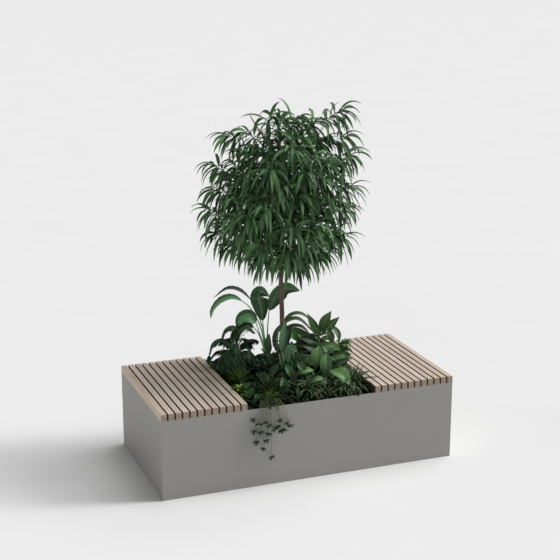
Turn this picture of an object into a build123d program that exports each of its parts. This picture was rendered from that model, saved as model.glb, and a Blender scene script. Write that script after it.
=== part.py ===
from build123d import *
import math
import os

# A street planter: a coated sheet-steel box with a planted trough in the middle and a slatted hardwood
# seat over each end. Millimetres. The origin is the centre of the footprint on the ground, X runs along
# the length, Y to the rear and Z up.

# Shell
LENGTH = 1600.0
DEPTH = 785.0
WALL_HEIGHT = 420.0
SHEET = 3.0
FLANGE = 30.0

# Seats
SLATS_PER_SEAT = 12
SLAT_WIDTH = 30.0
SLAT_GAP = 8.0
SLAT_THICKNESS = 35.0
SLAT_EDGE = 1.5
SLAT_PITCH = SLAT_WIDTH + SLAT_GAP
SEAT_LENGTH = SLATS_PER_SEAT * SLAT_PITCH - SLAT_GAP
SEAT_TOP = WALL_HEIGHT + SLAT_THICKNESS

# Seat bearers, which are rectangular tubes under the slats
BEARER_LINES = (-300.0, 0.0, 300.0)
BEARER_WIDTH = 40.0
BEARER_HEIGHT = 30.0
BEARER_WALL = 2.5
BEARER_BOTTOM = WALL_HEIGHT - BEARER_HEIGHT
CLEAT_LEG = 30.0
CLEAT_HEIGHT = 24.0
RIVET_RADIUS = 2.4
RIVET_HEAD_RADIUS = 4.0
RIVET_HEAD = 2.0

# Slat screws, driven upwards through the bearers
SCREW_RADIUS = 2.5
SCREW_CLEARANCE_RADIUS = 3.0
SCREW_HEAD_RADIUS = 5.0
SCREW_HEAD = 3.0
SCREW_BITE = 20.0
PILOT_RADIUS = SCREW_RADIUS + 0.05
PILOT_DEPTH = SCREW_BITE + 1.0

# Corner angles and the welded studs that hold them and the cleats
ANGLE_LEG = 30.0
ANGLE_TOP = WALL_HEIGHT - 5.0
STUD_RADIUS = 3.0
STUD_LENGTH = 12.0
STUD_NUT_FLATS = 10.0
STUD_NUT = 5.0
STUD_HOLE_RADIUS = 3.2
CORNER_STUD_HEIGHTS = (90.0, 230.0, 370.0)

# Base
SKID_WIDTH = 60.0
SKID_HEIGHT = 40.0
SKID_LINES = (-600.0, 0.0, 600.0)
PLATE_TOP = SKID_HEIGHT + SHEET
ANCHOR_X = 500.0
ANCHOR_Y = 250.0
ANCHOR_RADIUS = 7.0

# Levelling feet, wound fully up at rest
FOOT_X = 735.0
FOOT_Y = 330.0
FOOT_REST_GAP = 1.0
FOOT_PAD_RADIUS = 25.0
FOOT_PAD = 8.0
FOOT_NECK = 5.0
FOOT_STUD_RADIUS = 6.0
FOOT_STUD_TOP = 90.0
FOOT_FLATS = 19.0
FOOT_FLATS_HEIGHT = 8.0
FOOT_SOCKET_FLATS = 6.0
FOOT_SOCKET = 6.0
FOOT_NUT = 10.0
FOOT_NUT_RADIUS = FOOT_STUD_RADIUS + 0.05
FOOT_HOLE_RADIUS = FOOT_STUD_RADIUS + 0.6

# Trough: liner, drainage, soil
TROUGH_HALF = LENGTH / 2 - SEAT_LENGTH
LINER = 2.5
LINER_TOP = 412.0
GRAVEL = 50.0
FLEECE = 2.0
SOIL_TOP = 385.0
DRAIN_X = 200.0
DRAIN_BORE_RADIUS = 9.0
DRAIN_RADIUS = 14.0
DRAIN_HOLE_RADIUS = 14.5
DRAIN_FLANGE_RADIUS = 22.0
DRAIN_FLANGE = 3.0
DRAIN_END = 10.0
DRAIN_NUT_FLATS = 38.0
DRAIN_NUT = 6.0

# Tree
TRUNK_FOOT = (-12.0, 0.0, SOIL_TOP - 5.0)
TRUNK_TOP = (-40.0, 0.0, 1700.0)
TRUNK_FOOT_RADIUS = 13.0
TRUNK_TOP_RADIUS = 6.0
BRANCH_RADIUS = 5.0
BRANCH_RISE = 150.0
TUFT_RADIUS = 74.0
TUFT_INNER = 90.0
TUFT_OUTER = 85.0
TUFT_TIP_RADIUS = 8.0
# each ring of foliage: height, radius of the tufts' centres, number of tufts, tilt above the horizontal
FOLIAGE_RINGS = (
    (1035.0, 330.0, 8, -35.0),
    (1215.0, 385.0, 10, -10.0),
    (1400.0, 385.0, 10, 5.0),
    (1590.0, 370.0, 10, 25.0),
    (1760.0, 215.0, 6, 55.0),
)
CROWN_TUFT_HEIGHT = 1815.0

# Small plants: each a clump with (x, y) of its foot, foot radius, widest radius, height of the widest
# part, top radius and top height
FERN = (-240.0, 180.0, 25.0, 100.0, 560.0, 40.0, 640.0)
STRELITZIA = (-10.0, 255.0, 30.0, 85.0, 790.0, 40.0, 880.0)
BROADLEAF_REAR = (250.0, 170.0, 30.0, 110.0, 620.0, 60.0, 700.0)
BROADLEAF_FRONT = (200.0, -70.0, 30.0, 110.0, 560.0, 60.0, 630.0)
SPIDER = (-190.0, -290.0, 20.0, 80.0, 450.0, 40.0, 505.0)
TUFTS = (
    (-300.0, -15.0, 15.0, 45.0, 450.0, 20.0, 500.0),
    (35.0, -290.0, 20.0, 80.0, 450.0, 30.0, 500.0),
    (262.0, -265.0, 20.0, 80.0, 460.0, 30.0, 520.0),
)
TREE_BALL_RADIUS = 150.0
TREE_BALL_FOOT_RADIUS = 110.0
TREE_BALL = 260.0
SMALL_BALL_RADIUS = 42.0
SMALL_BALL = 90.0

# Runners of the spider plant over the front wall: x and how far the plantlet hangs below the wall's top
RUNNERS = (
    (-330.0, 47.0),
    (-310.0, 168.0),
    (-300.0, 78.0),
    (-278.0, 212.0),
    (-266.0, 74.0),
    (-250.0, 136.0),
    (-232.0, 263.0),
    (-214.0, 112.0),
    (-198.0, 100.0),
    (-178.0, 124.0),
    (-150.0, 92.0),
    (-130.0, 108.0),
)
RUNNER_RADIUS = 1.2
RUNNER_OVER_WALL = 12.0
RUNNER_STAND_OFF = 16.0
RUNNER_INSIDE = 20.0
PLANTLET_RADIUS = 9.0

HALF_LENGTH = LENGTH / 2
HALF_DEPTH = DEPTH / 2
INNER_LENGTH = HALF_LENGTH - SHEET
INNER_DEPTH = HALF_DEPTH - SHEET


def block(x0, x1, y0, y1, z0, z1):
    """A box between two corners."""
    centre = Pos((x0 + x1) / 2, (y0 + y1) / 2, (z0 + z1) / 2)
    return centre * Box(x1 - x0, y1 - y0, z1 - z0)


def rod(x, y, z0, z1, radius):
    """An upright cylinder from z0 to z1."""
    return Pos(x, y, (z0 + z1) / 2) * Cylinder(radius, z1 - z0)


def hexagon(x, y, z0, z1, flats):
    """An upright hexagonal prism from z0 to z1, with its size across the flats."""
    sketch = RegularPolygon(flats / 2, 6, major_radius=False)
    return Pos(x, y, z0) * extrude(sketch, z1 - z0)


def cone_along(start, end, start_radius, end_radius):
    """A cone or cylinder whose axis runs from start to end."""
    axis = Vector(end) - Vector(start)
    middle = (Vector(start) + Vector(end)) / 2
    plane = Plane(origin=middle, z_dir=axis)
    if start_radius == end_radius:
        return plane * Cylinder(start_radius, axis.length)
    return plane * Cone(start_radius, end_radius, axis.length)


def save(name, *shapes):
    """Writes the node's solids to its own STEP file."""
    solids = [solid for shape in shapes for solid in shape.solids()]
    whole = solids[0] if len(solids) == 1 else Compound(children=solids)
    export_step(whole, os.path.join("parts", name + ".step"))


# ---- shell -------------------------------------------------------------------------------------------
def long_panel(side):
    """The front (side -1) or rear (side 1) sheet with its bottom flange turned inwards."""
    outer = side * HALF_DEPTH
    inner = side * INNER_DEPTH
    lip = side * (HALF_DEPTH - FLANGE)
    sheet = block(-HALF_LENGTH, HALF_LENGTH, min(outer, inner), max(outer, inner), 0, WALL_HEIGHT)
    flange = block(-INNER_LENGTH, INNER_LENGTH, min(inner, lip), max(inner, lip), 0, SHEET)
    return sheet + flange


def end_panel(side):
    """The left (side -1) or right (side 1) sheet, between the long panels, with its bottom flange."""
    outer = side * HALF_LENGTH
    inner = side * INNER_LENGTH
    lip = side * (HALF_LENGTH - FLANGE)
    clear = HALF_DEPTH - FLANGE
    sheet = block(min(outer, inner), max(outer, inner), -INNER_DEPTH, INNER_DEPTH, 0, WALL_HEIGHT)
    flange = block(min(inner, lip), max(inner, lip), -clear, clear, 0, SHEET)
    return sheet + flange


def bulkhead(side):
    """The wall between the trough and a seat, under the seat's innermost slat."""
    near = side * TROUGH_HALF
    far = side * (TROUGH_HALF + SHEET)
    return block(min(near, far), max(near, far), -INNER_DEPTH, INNER_DEPTH, PLATE_TOP, WALL_HEIGHT)


def corner_angle(side_x, side_y):
    """An upright steel angle in one corner of the box, with holes for the studs in each leg."""
    x_wall = side_x * INNER_LENGTH
    y_wall = side_y * INNER_DEPTH
    x_in = x_wall - side_x * SHEET
    y_in = y_wall - side_y * SHEET
    x_lip = x_wall - side_x * ANGLE_LEG
    y_lip = y_wall - side_y * ANGLE_LEG
    end_leg = block(min(x_wall, x_in), max(x_wall, x_in), min(y_wall, y_lip), max(y_wall, y_lip),
                    PLATE_TOP, ANGLE_TOP)
    long_leg = block(min(x_in, x_lip), max(x_in, x_lip), min(y_wall, y_in), max(y_wall, y_in),
                     PLATE_TOP, ANGLE_TOP)
    angle = end_leg + long_leg
    for start, direction in corner_studs(side_x, side_y):
        end = Vector(start) + Vector(direction) * SHEET
        angle -= cone_along(start, end, STUD_HOLE_RADIUS, STUD_HOLE_RADIUS)
    return angle


def corner_studs(side_x, side_y):
    """Where the studs of one corner leave the walls, and the way they point."""
    x_wall = side_x * INNER_LENGTH
    y_wall = side_y * INNER_DEPTH
    offset = ANGLE_LEG * 0.55
    for height in CORNER_STUD_HEIGHTS:
        yield (x_wall, y_wall - side_y * offset, height - 25), (-side_x, 0, 0)
        yield (x_wall - side_x * offset, y_wall, height + 25), (0, -side_y, 0)


def stud_with_nut(start, direction):
    """A stud welded to a wall at start, with its nut over a 3 mm leg."""
    way = Vector(direction)
    stud = cone_along(start, Vector(start) + way * STUD_LENGTH, STUD_RADIUS, STUD_RADIUS)
    seat = Plane(origin=Vector(start) + way * SHEET, z_dir=way)
    nut = seat * extrude(RegularPolygon(STUD_NUT_FLATS / 2, 6, major_radius=False), STUD_NUT)
    return stud + nut


# ---- seats -------------------------------------------------------------------------------------------
def slat_left_edge(side, index):
    """X of a slat's left edge. Slats are counted from left to right on both seats."""
    first = -HALF_LENGTH if side < 0 else TROUGH_HALF
    return first + index * SLAT_PITCH


def slat(side, index):
    """One slat, front to back, with softened long top edges and its pilot holes."""
    x0 = slat_left_edge(side, index)
    bar = block(x0, x0 + SLAT_WIDTH, -HALF_DEPTH, HALF_DEPTH, WALL_HEIGHT, SEAT_TOP)
    long_edges = bar.edges().filter_by(Axis.Y).sort_by(Axis.Z)[-2:]
    bar = fillet(long_edges, SLAT_EDGE)
    for line in BEARER_LINES:
        bar -= rod(x0 + SLAT_WIDTH / 2, line, WALL_HEIGHT, WALL_HEIGHT + PILOT_DEPTH, PILOT_RADIUS)
    return bar


def bearer_span(side):
    """The two ends of a bearer in X."""
    ends = (side * INNER_LENGTH, side * (TROUGH_HALF + SHEET))
    return min(ends), max(ends)


def bearer(side, line):
    """A rectangular tube under the slats, drilled for the screws and for the cleats' rivets."""
    x0, x1 = bearer_span(side)
    half = BEARER_WIDTH / 2
    inside = half - BEARER_WALL
    tube = block(x0, x1, line - half, line + half, BEARER_BOTTOM, WALL_HEIGHT)
    tube -= block(x0, x1, line - inside, line + inside, BEARER_BOTTOM + BEARER_WALL,
                  WALL_HEIGHT - BEARER_WALL)
    for index in range(SLATS_PER_SEAT):
        x = slat_left_edge(side, index) + SLAT_WIDTH / 2
        tube -= rod(x, line, BEARER_BOTTOM, WALL_HEIGHT, SCREW_CLEARANCE_RADIUS)
    for start, way in cleat_rivets(side, line):
        tube -= cone_along(start, Vector(start) + way * (SHEET + BEARER_WALL), RIVET_RADIUS + 0.1,
                           RIVET_RADIUS + 0.1)
    return tube


def cleat_ends(side):
    """For both ends of a bearer: the wall's X and the way from the wall into the seat."""
    x0, x1 = bearer_span(side)
    return (x0, 1), (x1, -1)


def cleat_rivets(side, line):
    """Where each cleat's rivet starts on the cleat's outer face, and the way it points."""
    outer_face = line + BEARER_WIDTH / 2 + SHEET
    middle = BEARER_BOTTOM + BEARER_HEIGHT / 2
    for wall, way in cleat_ends(side):
        yield (wall + way * CLEAT_LEG * 0.6, outer_face, middle), Vector(0, -1, 0)


def cleat_studs(side, line):
    """Where each cleat's stud leaves the wall, and the way it points."""
    middle = BEARER_BOTTOM + BEARER_HEIGHT / 2
    for wall, way in cleat_ends(side):
        yield (wall, line + BEARER_WIDTH / 2 + CLEAT_LEG * 0.6, middle), (way, 0, 0)


def cleats(side, line):
    """The two small angles that hold one bearer's ends to the walls."""
    low = BEARER_BOTTOM + (BEARER_HEIGHT - CLEAT_HEIGHT) / 2
    high = low + CLEAT_HEIGHT
    face = line + BEARER_WIDTH / 2
    made = []
    for (wall, way), (stud, stud_way), (rivet, rivet_way) in zip(
        cleat_ends(side), cleat_studs(side, line), cleat_rivets(side, line)
    ):
        inner = wall + way * SHEET
        tip = wall + way * CLEAT_LEG
        wall_leg = block(min(wall, inner), max(wall, inner), face, face + CLEAT_LEG, low, high)
        tube_leg = block(min(inner, tip), max(inner, tip), face, face + SHEET, low, high)
        stud_hole = cone_along(stud, Vector(stud) + Vector(stud_way) * SHEET, STUD_HOLE_RADIUS,
                               STUD_HOLE_RADIUS)
        rivet_hole = cone_along(rivet, Vector(rivet) + rivet_way * SHEET, RIVET_RADIUS + 0.1,
                                RIVET_RADIUS + 0.1)
        made.append(wall_leg + tube_leg - stud_hole - rivet_hole)
    return made


def rivet_at(start, way):
    """A rivet with its head on the cleat's outer face and its shank through the tube's wall."""
    shank_end = Vector(start) + way * (SHEET + BEARER_WALL)
    shank = cone_along(start, shank_end, RIVET_RADIUS, RIVET_RADIUS)
    head = cone_along(start, Vector(start) - way * RIVET_HEAD, RIVET_HEAD_RADIUS,
                      RIVET_HEAD_RADIUS * 0.6)
    return shank + head


def slat_screw(x, y):
    """A pan-head screw, head under the bearer and thread in the slat."""
    shank = rod(x, y, BEARER_BOTTOM, WALL_HEIGHT + SCREW_BITE, SCREW_RADIUS)
    head = rod(x, y, BEARER_BOTTOM - SCREW_HEAD, BEARER_BOTTOM, SCREW_HEAD_RADIUS)
    return shank + head


# ---- base --------------------------------------------------------------------------------------------
def base_plate():
    """The floor of the box, drilled for the feet, the ground anchors and the drains."""
    plate = block(-INNER_LENGTH, INNER_LENGTH, -INNER_DEPTH, INNER_DEPTH, SKID_HEIGHT, PLATE_TOP)
    for side_x in (-1, 1):
        for side_y in (-1, 1):
            plate -= rod(side_x * FOOT_X, side_y * FOOT_Y, SKID_HEIGHT, PLATE_TOP, FOOT_HOLE_RADIUS)
            plate -= rod(side_x * ANCHOR_X, side_y * ANCHOR_Y, SKID_HEIGHT, PLATE_TOP, ANCHOR_RADIUS)
        plate -= rod(side_x * DRAIN_X, 0, SKID_HEIGHT, PLATE_TOP, DRAIN_HOLE_RADIUS)
    return plate


def skid(line):
    """A solid bearer on the ground, front to back between the flanges."""
    reach = HALF_DEPTH - FLANGE - 2
    return block(line - SKID_WIDTH / 2, line + SKID_WIDTH / 2, -reach, reach, 0, SKID_HEIGHT)


def foot(side_x, side_y):
    """A levelling foot: pad, neck, spanner flats, stud and a hexagon socket in the stud's top."""
    x = side_x * FOOT_X
    y = side_y * FOOT_Y
    pad_top = FOOT_REST_GAP + FOOT_PAD
    neck_top = pad_top + FOOT_NECK
    pad = rod(x, y, FOOT_REST_GAP, pad_top, FOOT_PAD_RADIUS)
    pad = fillet(pad.edges().filter_by(GeomType.CIRCLE), 1.5)
    neck = cone_along((x, y, pad_top), (x, y, neck_top), FOOT_PAD_RADIUS * 0.5, FOOT_STUD_RADIUS + 2)
    flats = hexagon(x, y, neck_top, neck_top + FOOT_FLATS_HEIGHT, FOOT_FLATS)
    stud = rod(x, y, neck_top, FOOT_STUD_TOP, FOOT_STUD_RADIUS)
    socket = hexagon(x, y, FOOT_STUD_TOP - FOOT_SOCKET, FOOT_STUD_TOP, FOOT_SOCKET_FLATS)
    return pad + neck + flats + stud - socket


def foot_nut(side_x, side_y):
    """The nut welded to the base plate that a levelling foot turns in."""
    x = side_x * FOOT_X
    y = side_y * FOOT_Y
    nut = hexagon(x, y, PLATE_TOP, PLATE_TOP + FOOT_NUT, FOOT_FLATS)
    return nut - rod(x, y, PLATE_TOP, PLATE_TOP + FOOT_NUT, FOOT_NUT_RADIUS)


def drain_bush(x):
    """A flanged plastic bush through the liner and the base plate, open from top to bottom."""
    flange_base = PLATE_TOP + LINER
    flange_top = flange_base + DRAIN_FLANGE
    bush = rod(x, 0, DRAIN_END, flange_top, DRAIN_RADIUS)
    bush += rod(x, 0, flange_base, flange_top, DRAIN_FLANGE_RADIUS)
    return bush - rod(x, 0, DRAIN_END, flange_top, DRAIN_BORE_RADIUS)


def drain_nut(x):
    """The nut that clamps a drain bush under the base plate."""
    nut = hexagon(x, 0, SKID_HEIGHT - DRAIN_NUT, SKID_HEIGHT, DRAIN_NUT_FLATS)
    return nut - rod(x, 0, SKID_HEIGHT - DRAIN_NUT, SKID_HEIGHT, DRAIN_RADIUS + 0.05)


# ---- trough ------------------------------------------------------------------------------------------
TROUGH_INNER = TROUGH_HALF - LINER
TROUGH_INNER_DEPTH = INNER_DEPTH - LINER
LINER_FLOOR = PLATE_TOP + LINER
GRAVEL_TOP = LINER_FLOOR + GRAVEL
FLEECE_TOP = GRAVEL_TOP + FLEECE


def trough_layer(z0, z1):
    """A layer that fills the liner from z0 to z1."""
    return block(-TROUGH_INNER, TROUGH_INNER, -TROUGH_INNER_DEPTH, TROUGH_INNER_DEPTH, z0, z1)


def liner():
    """The black plastic tub in the trough."""
    tub = block(-TROUGH_HALF, TROUGH_HALF, -INNER_DEPTH, INNER_DEPTH, PLATE_TOP, LINER_TOP)
    tub -= trough_layer(LINER_FLOOR, LINER_TOP)
    for side in (-1, 1):
        tub -= rod(side * DRAIN_X, 0, PLATE_TOP, LINER_FLOOR, DRAIN_HOLE_RADIUS)
    return tub


def gravel():
    """The drainage layer, around the drains' flanges."""
    layer = trough_layer(LINER_FLOOR, GRAVEL_TOP)
    for side in (-1, 1):
        layer -= rod(side * DRAIN_X, 0, LINER_FLOOR, LINER_FLOOR + DRAIN_FLANGE, DRAIN_FLANGE_RADIUS)
    return layer


def small_plants():
    """Every small plant's clump."""
    return (FERN, STRELITZIA, BROADLEAF_REAR, BROADLEAF_FRONT, SPIDER, *TUFTS)


def root_balls():
    """The tree's root ball and a smaller one under each plant, with their tops at the soil's surface."""
    x, y, _ = TRUNK_FOOT
    low = (x, y, SOIL_TOP - TREE_BALL)
    balls = [cone_along(low, (x, y, SOIL_TOP), TREE_BALL_FOOT_RADIUS, TREE_BALL_RADIUS)]
    for plant in small_plants():
        balls.append(rod(plant[0], plant[1], SOIL_TOP - SMALL_BALL, SOIL_TOP, SMALL_BALL_RADIUS))
    return balls


def soil(balls):
    """The planting soil, around the root balls."""
    layer = trough_layer(FLEECE_TOP, SOIL_TOP)
    for ball in balls:
        layer -= ball
    return layer


# ---- plants ------------------------------------------------------------------------------------------
def clump(x, y, foot_radius, wide_radius, wide_height, top_radius, top_height):
    """A plant's outer shape: narrow at the soil, widest at the leaves' height, closing at the top."""
    low = cone_along((x, y, SOIL_TOP), (x, y, wide_height), foot_radius, wide_radius)
    high = cone_along((x, y, wide_height), (x, y, top_height), wide_radius, top_radius)
    return low + high


def trunk_point(height):
    """The trunk's centre at a height."""
    share = (height - TRUNK_FOOT[2]) / (TRUNK_TOP[2] - TRUNK_FOOT[2])
    return Vector(TRUNK_FOOT) + (Vector(TRUNK_TOP) - Vector(TRUNK_FOOT)) * share


def trunk():
    """The slender, slightly leaning trunk, cut level with the soil."""
    stem = cone_along(TRUNK_FOOT, TRUNK_TOP, TRUNK_FOOT_RADIUS, TRUNK_TOP_RADIUS)
    return stem - trough_layer(FLEECE_TOP, SOIL_TOP)


def tuft_axes():
    """For each tuft of foliage: where its branch leaves the trunk, the tuft's centre and the way it points."""
    for number, (height, radius, count, tilt) in enumerate(FOLIAGE_RINGS):
        rise = math.radians(tilt)
        for index in range(count):
            turn = 2 * math.pi * (index + 0.5 * (number % 2)) / count
            centre = trunk_point(height) + Vector(math.cos(turn), math.sin(turn), 0) * radius
            way = Vector(math.cos(turn) * math.cos(rise), math.sin(turn) * math.cos(rise), math.sin(rise))
            yield trunk_point(height - BRANCH_RISE), centre, way
    crown = Vector(TRUNK_TOP[0], TRUNK_TOP[1], CROWN_TUFT_HEIGHT)
    yield Vector(TRUNK_TOP), crown, Vector(0, 0, 1)


def tuft(centre, way):
    """The outer shape of one branch's leaves: a blunt double cone."""
    inner = cone_along(centre - way * TUFT_INNER, centre, TUFT_TIP_RADIUS, TUFT_RADIUS)
    outer = cone_along(centre, centre + way * TUFT_OUTER, TUFT_RADIUS, TUFT_TIP_RADIUS)
    return inner + outer


def branch(start, centre, way, bark):
    """A branch from the trunk's bark to the inner end of its tuft."""
    end = centre - way * TUFT_INNER
    run = (end - start).normalized()
    return cone_along(start, end - run * BRANCH_RADIUS * 2, BRANCH_RADIUS, BRANCH_RADIUS * 0.6) - bark


def runner(x, drop):
    """One runner: out over the front wall's top and straight down to its plantlet, clear of the wall."""
    high = WALL_HEIGHT + RUNNER_OVER_WALL
    inside = (x, -HALF_DEPTH + RUNNER_INSIDE, high)
    outside = (x, -HALF_DEPTH - RUNNER_STAND_OFF, high)
    hanging = (x, -HALF_DEPTH - RUNNER_STAND_OFF, WALL_HEIGHT - drop)
    over = cone_along(inside, outside, RUNNER_RADIUS, RUNNER_RADIUS)
    down = cone_along(outside, hanging, RUNNER_RADIUS, RUNNER_RADIUS)
    bend = Pos(*outside) * Sphere(RUNNER_RADIUS)
    plantlet = Pos(*hanging) * Sphere(PLANTLET_RADIUS)
    return over + bend + down + plantlet


# ---- writing -----------------------------------------------------------------------------------------
os.makedirs("parts", exist_ok=True)
SIDES = ((-1, "left"), (1, "right"))
CORNERS = tuple((side_x, side_y) for side_x in (-1, 1) for side_y in (-1, 1))

for side, word in SIDES:
    for index in range(SLATS_PER_SEAT):
        save(f"{word}_slat_{index + 1:02d}", slat(side, index))
    save(f"{word}_seat_bearers", *[bearer(side, line) for line in BEARER_LINES])
    save(f"{word}_end_panel", end_panel(side))
    save(f"{word}_bulkhead", bulkhead(side))

save("front_panel", long_panel(-1))
save("rear_panel", long_panel(1))
save("corner_angles", *[corner_angle(*corner) for corner in CORNERS])

studs = [stud for corner in CORNERS for stud in corner_studs(*corner)]
studs += [stud for side, _ in SIDES for line in BEARER_LINES for stud in cleat_studs(side, line)]
save("shell_fixings", *[stud_with_nut(start, way) for start, way in studs])
save("bearer_cleats", *[piece for side, _ in SIDES for line in BEARER_LINES for piece in cleats(side, line)])
rivets = [spot for side, _ in SIDES for line in BEARER_LINES for spot in cleat_rivets(side, line)]
save("bearer_rivets", *[rivet_at(start, way) for start, way in rivets])
screw_spots = [
    (slat_left_edge(side, index) + SLAT_WIDTH / 2, line)
    for side, _ in SIDES
    for index in range(SLATS_PER_SEAT)
    for line in BEARER_LINES
]
save("slat_screws", *[slat_screw(x, y) for x, y in screw_spots])

save("base_plate", base_plate())
save("base_skids", *[skid(line) for line in SKID_LINES])
save("foot_nuts", *[foot_nut(*corner) for corner in CORNERS])
for side_x, side_y in CORNERS:
    place = ("front" if side_y < 0 else "rear") + "_" + ("left" if side_x < 0 else "right")
    save("foot_" + place, foot(side_x, side_y))
save("drain_outlets", *[make(side * DRAIN_X) for side, _ in SIDES for make in (drain_bush, drain_nut)])

BALLS = root_balls()
save("planting_liner", liner())
save("drainage_gravel", gravel())
save("filter_fleece", trough_layer(GRAVEL_TOP, FLEECE_TOP))
save("root_balls", *BALLS)
save("soil", soil(BALLS))

bark = trunk()
save("tree_trunk", bark)
save("tree_branches", *[branch(start, centre, way, bark) for start, centre, way in list(tuft_axes())[:-1]])
save("tree_foliage", *[tuft(centre, way) for start, centre, way in tuft_axes()])
save("fern", clump(*FERN))
save("strelitzia", clump(*STRELITZIA))
save("broadleaf_plant_rear", clump(*BROADLEAF_REAR))
save("broadleaf_plant_front", clump(*BROADLEAF_FRONT))
save("spider_plant", clump(*SPIDER))
save("grass_tufts", *[clump(*plant) for plant in TUFTS])
save("trailing_runners", *[runner(x, drop) for x, drop in RUNNERS])
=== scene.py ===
import math
from dataclasses import dataclass

import bpy
import numpy as np
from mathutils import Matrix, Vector


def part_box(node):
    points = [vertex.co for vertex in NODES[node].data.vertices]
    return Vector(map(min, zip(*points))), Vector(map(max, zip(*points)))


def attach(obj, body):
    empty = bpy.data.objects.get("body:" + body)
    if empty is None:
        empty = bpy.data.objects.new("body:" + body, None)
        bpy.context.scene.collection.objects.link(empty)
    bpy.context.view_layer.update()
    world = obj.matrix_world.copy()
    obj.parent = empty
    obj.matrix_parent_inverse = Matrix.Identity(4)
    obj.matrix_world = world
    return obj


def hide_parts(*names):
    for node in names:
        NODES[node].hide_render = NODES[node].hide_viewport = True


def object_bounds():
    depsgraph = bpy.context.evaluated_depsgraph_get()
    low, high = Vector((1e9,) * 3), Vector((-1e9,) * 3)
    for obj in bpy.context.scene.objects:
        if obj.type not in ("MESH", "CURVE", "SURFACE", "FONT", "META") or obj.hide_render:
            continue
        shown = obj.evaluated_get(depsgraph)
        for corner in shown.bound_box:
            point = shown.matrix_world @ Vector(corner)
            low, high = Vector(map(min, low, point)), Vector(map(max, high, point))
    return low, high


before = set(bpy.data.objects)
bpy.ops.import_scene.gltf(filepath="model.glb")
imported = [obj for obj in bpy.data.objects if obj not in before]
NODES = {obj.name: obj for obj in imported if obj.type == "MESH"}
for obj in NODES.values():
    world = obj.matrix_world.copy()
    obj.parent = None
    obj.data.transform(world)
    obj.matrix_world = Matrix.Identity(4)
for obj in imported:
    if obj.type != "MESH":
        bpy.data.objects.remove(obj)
CAD_LOW, CAD_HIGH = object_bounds()
BODY = "planter"

# The scene is seen from the front left, so plants are laid out in that view's own directions.
VIEW_TURN = math.radians(20.83)
ACROSS = np.array((math.cos(VIEW_TURN), -math.sin(VIEW_TURN), 0.0))
AWAY = np.array((math.sin(VIEW_TURN), math.cos(VIEW_TURN), 0.0))
UP = np.array((0.0, 0.0, 1.0))
GOLDEN_ANGLE = math.radians(137.508)
ORIGIN = (0.0, 0.0)
LEAF_CLEARANCE = 0.004


# ---- places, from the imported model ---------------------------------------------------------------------
def corners(node):
    """A node's lowest and highest corners."""
    low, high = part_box(node)
    return np.array(low), np.array(high)


def middle_of(node):
    """The middle of a node's footprint."""
    low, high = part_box(node)
    return np.array(((low.x + high.x) / 2, (low.y + high.y) / 2))


SOIL_LOW, SOIL_HIGH = corners("soil")
SOIL_TOP = SOIL_HIGH[2]
FRONT_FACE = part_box("front_panel")[0].y
WALL_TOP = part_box("front_panel")[1].z
SEAT_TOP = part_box("left_slat_01")[1].z
BED_REACH = SOIL_HIGH[:2] - 2 * LEAF_CLEARANCE
BOX_REACH = np.array((CAD_HIGH.x, -FRONT_FACE)) + LEAF_CLEARANCE
TRUNK_LOW, TRUNK_HIGH = corners("tree_trunk")
CROWN_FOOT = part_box("tree_foliage")[0].z


def metres(millimetres):
    """Points and sizes that are listed one by one are given in millimetres."""
    return np.array(millimetres) / 1000


def at(spot, across=0.0, away=0.0, height=0.0):
    """A point at that height, moved in the view's directions from a spot on the ground."""
    ground = np.array((spot[0], spot[1], 0.0))
    return ground + ACROSS * across + AWAY * away + UP * height


# ---- mesh making ---------------------------------------------------------------------------------------
def unit(vectors):
    """The same directions with a length of 1."""
    length = np.linalg.norm(vectors, axis=-1, keepdims=True)
    return vectors / np.maximum(length, 1e-9)


def square_to(vectors, tangents):
    """The part of each vector that is square to its tangent, with a length of 1."""
    return unit(vectors - (vectors * tangents).sum(-1, keepdims=True) * tangents)


def smooth_path(points, steps):
    """A smooth curve through the points, in even steps."""
    points = np.array(points, float)
    padded = np.vstack((2 * points[0] - points[1], points, 2 * points[-1] - points[-2]))
    where = np.linspace(0, len(points) - 1, steps + 1)
    first = np.minimum(where.astype(int), len(points) - 2)
    t = (where - first)[:, None]
    a, b, c, d = (padded[first + k] for k in range(4))
    return 0.5 * (2 * b + (c - a) * t + (2 * a - 5 * b + 4 * c - d) * t**2 + (3 * b - a - 3 * c + d) * t**3)


class Cluster:
    """Closed leaves and stems, gathered into one mesh."""

    def __init__(self):
        self.points = []
        self.quads = []
        self.caps = []
        self.marks = []
        self.count = 0

    def add(self, rings, across, tones):
        """Adds closed tubes of rings, shaped (tubes, rings, points in a ring, 3)."""
        tubes, steps, size, _ = rings.shape
        index = self.count + np.arange(tubes * steps * size).reshape(tubes, steps, size)
        after = np.roll(index, -1, axis=2)
        near, near_next = index[:, :-1], after[:, :-1]
        far_next, far = after[:, 1:], index[:, 1:]
        self.quads.append(np.stack((near, near_next, far_next, far), axis=-1).reshape(-1, 4))
        self.caps += index[:, 0, ::-1].tolist() + index[:, -1].tolist()
        marks = np.empty((tubes, steps, size, 3))
        marks[..., 0] = across
        marks[..., 1] = np.linspace(0, 1, steps)[:, None]
        marks[..., 2] = np.asarray(tones)[:, None, None]
        self.points.append(rings.reshape(-1, 3))
        self.marks.append(marks.reshape(-1, 3))
        self.count += tubes * steps * size

    def piece(self, name, slot, *stands_for):
        """Makes the piece, rides it on the planter and hides the nodes that it stands for."""
        mesh = bpy.data.meshes.new(name)
        faces = np.concatenate(self.quads).tolist() + self.caps
        mesh.from_pydata(np.concatenate(self.points).tolist(), [], faces)
        marks = mesh.attributes.new("leaf", "FLOAT_VECTOR", "POINT")
        marks.data.foreach_set("vector", np.concatenate(self.marks).astype(np.float32).ravel())
        finish_piece(mesh, name, slot, stands_for, sharp=70.0)


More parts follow.
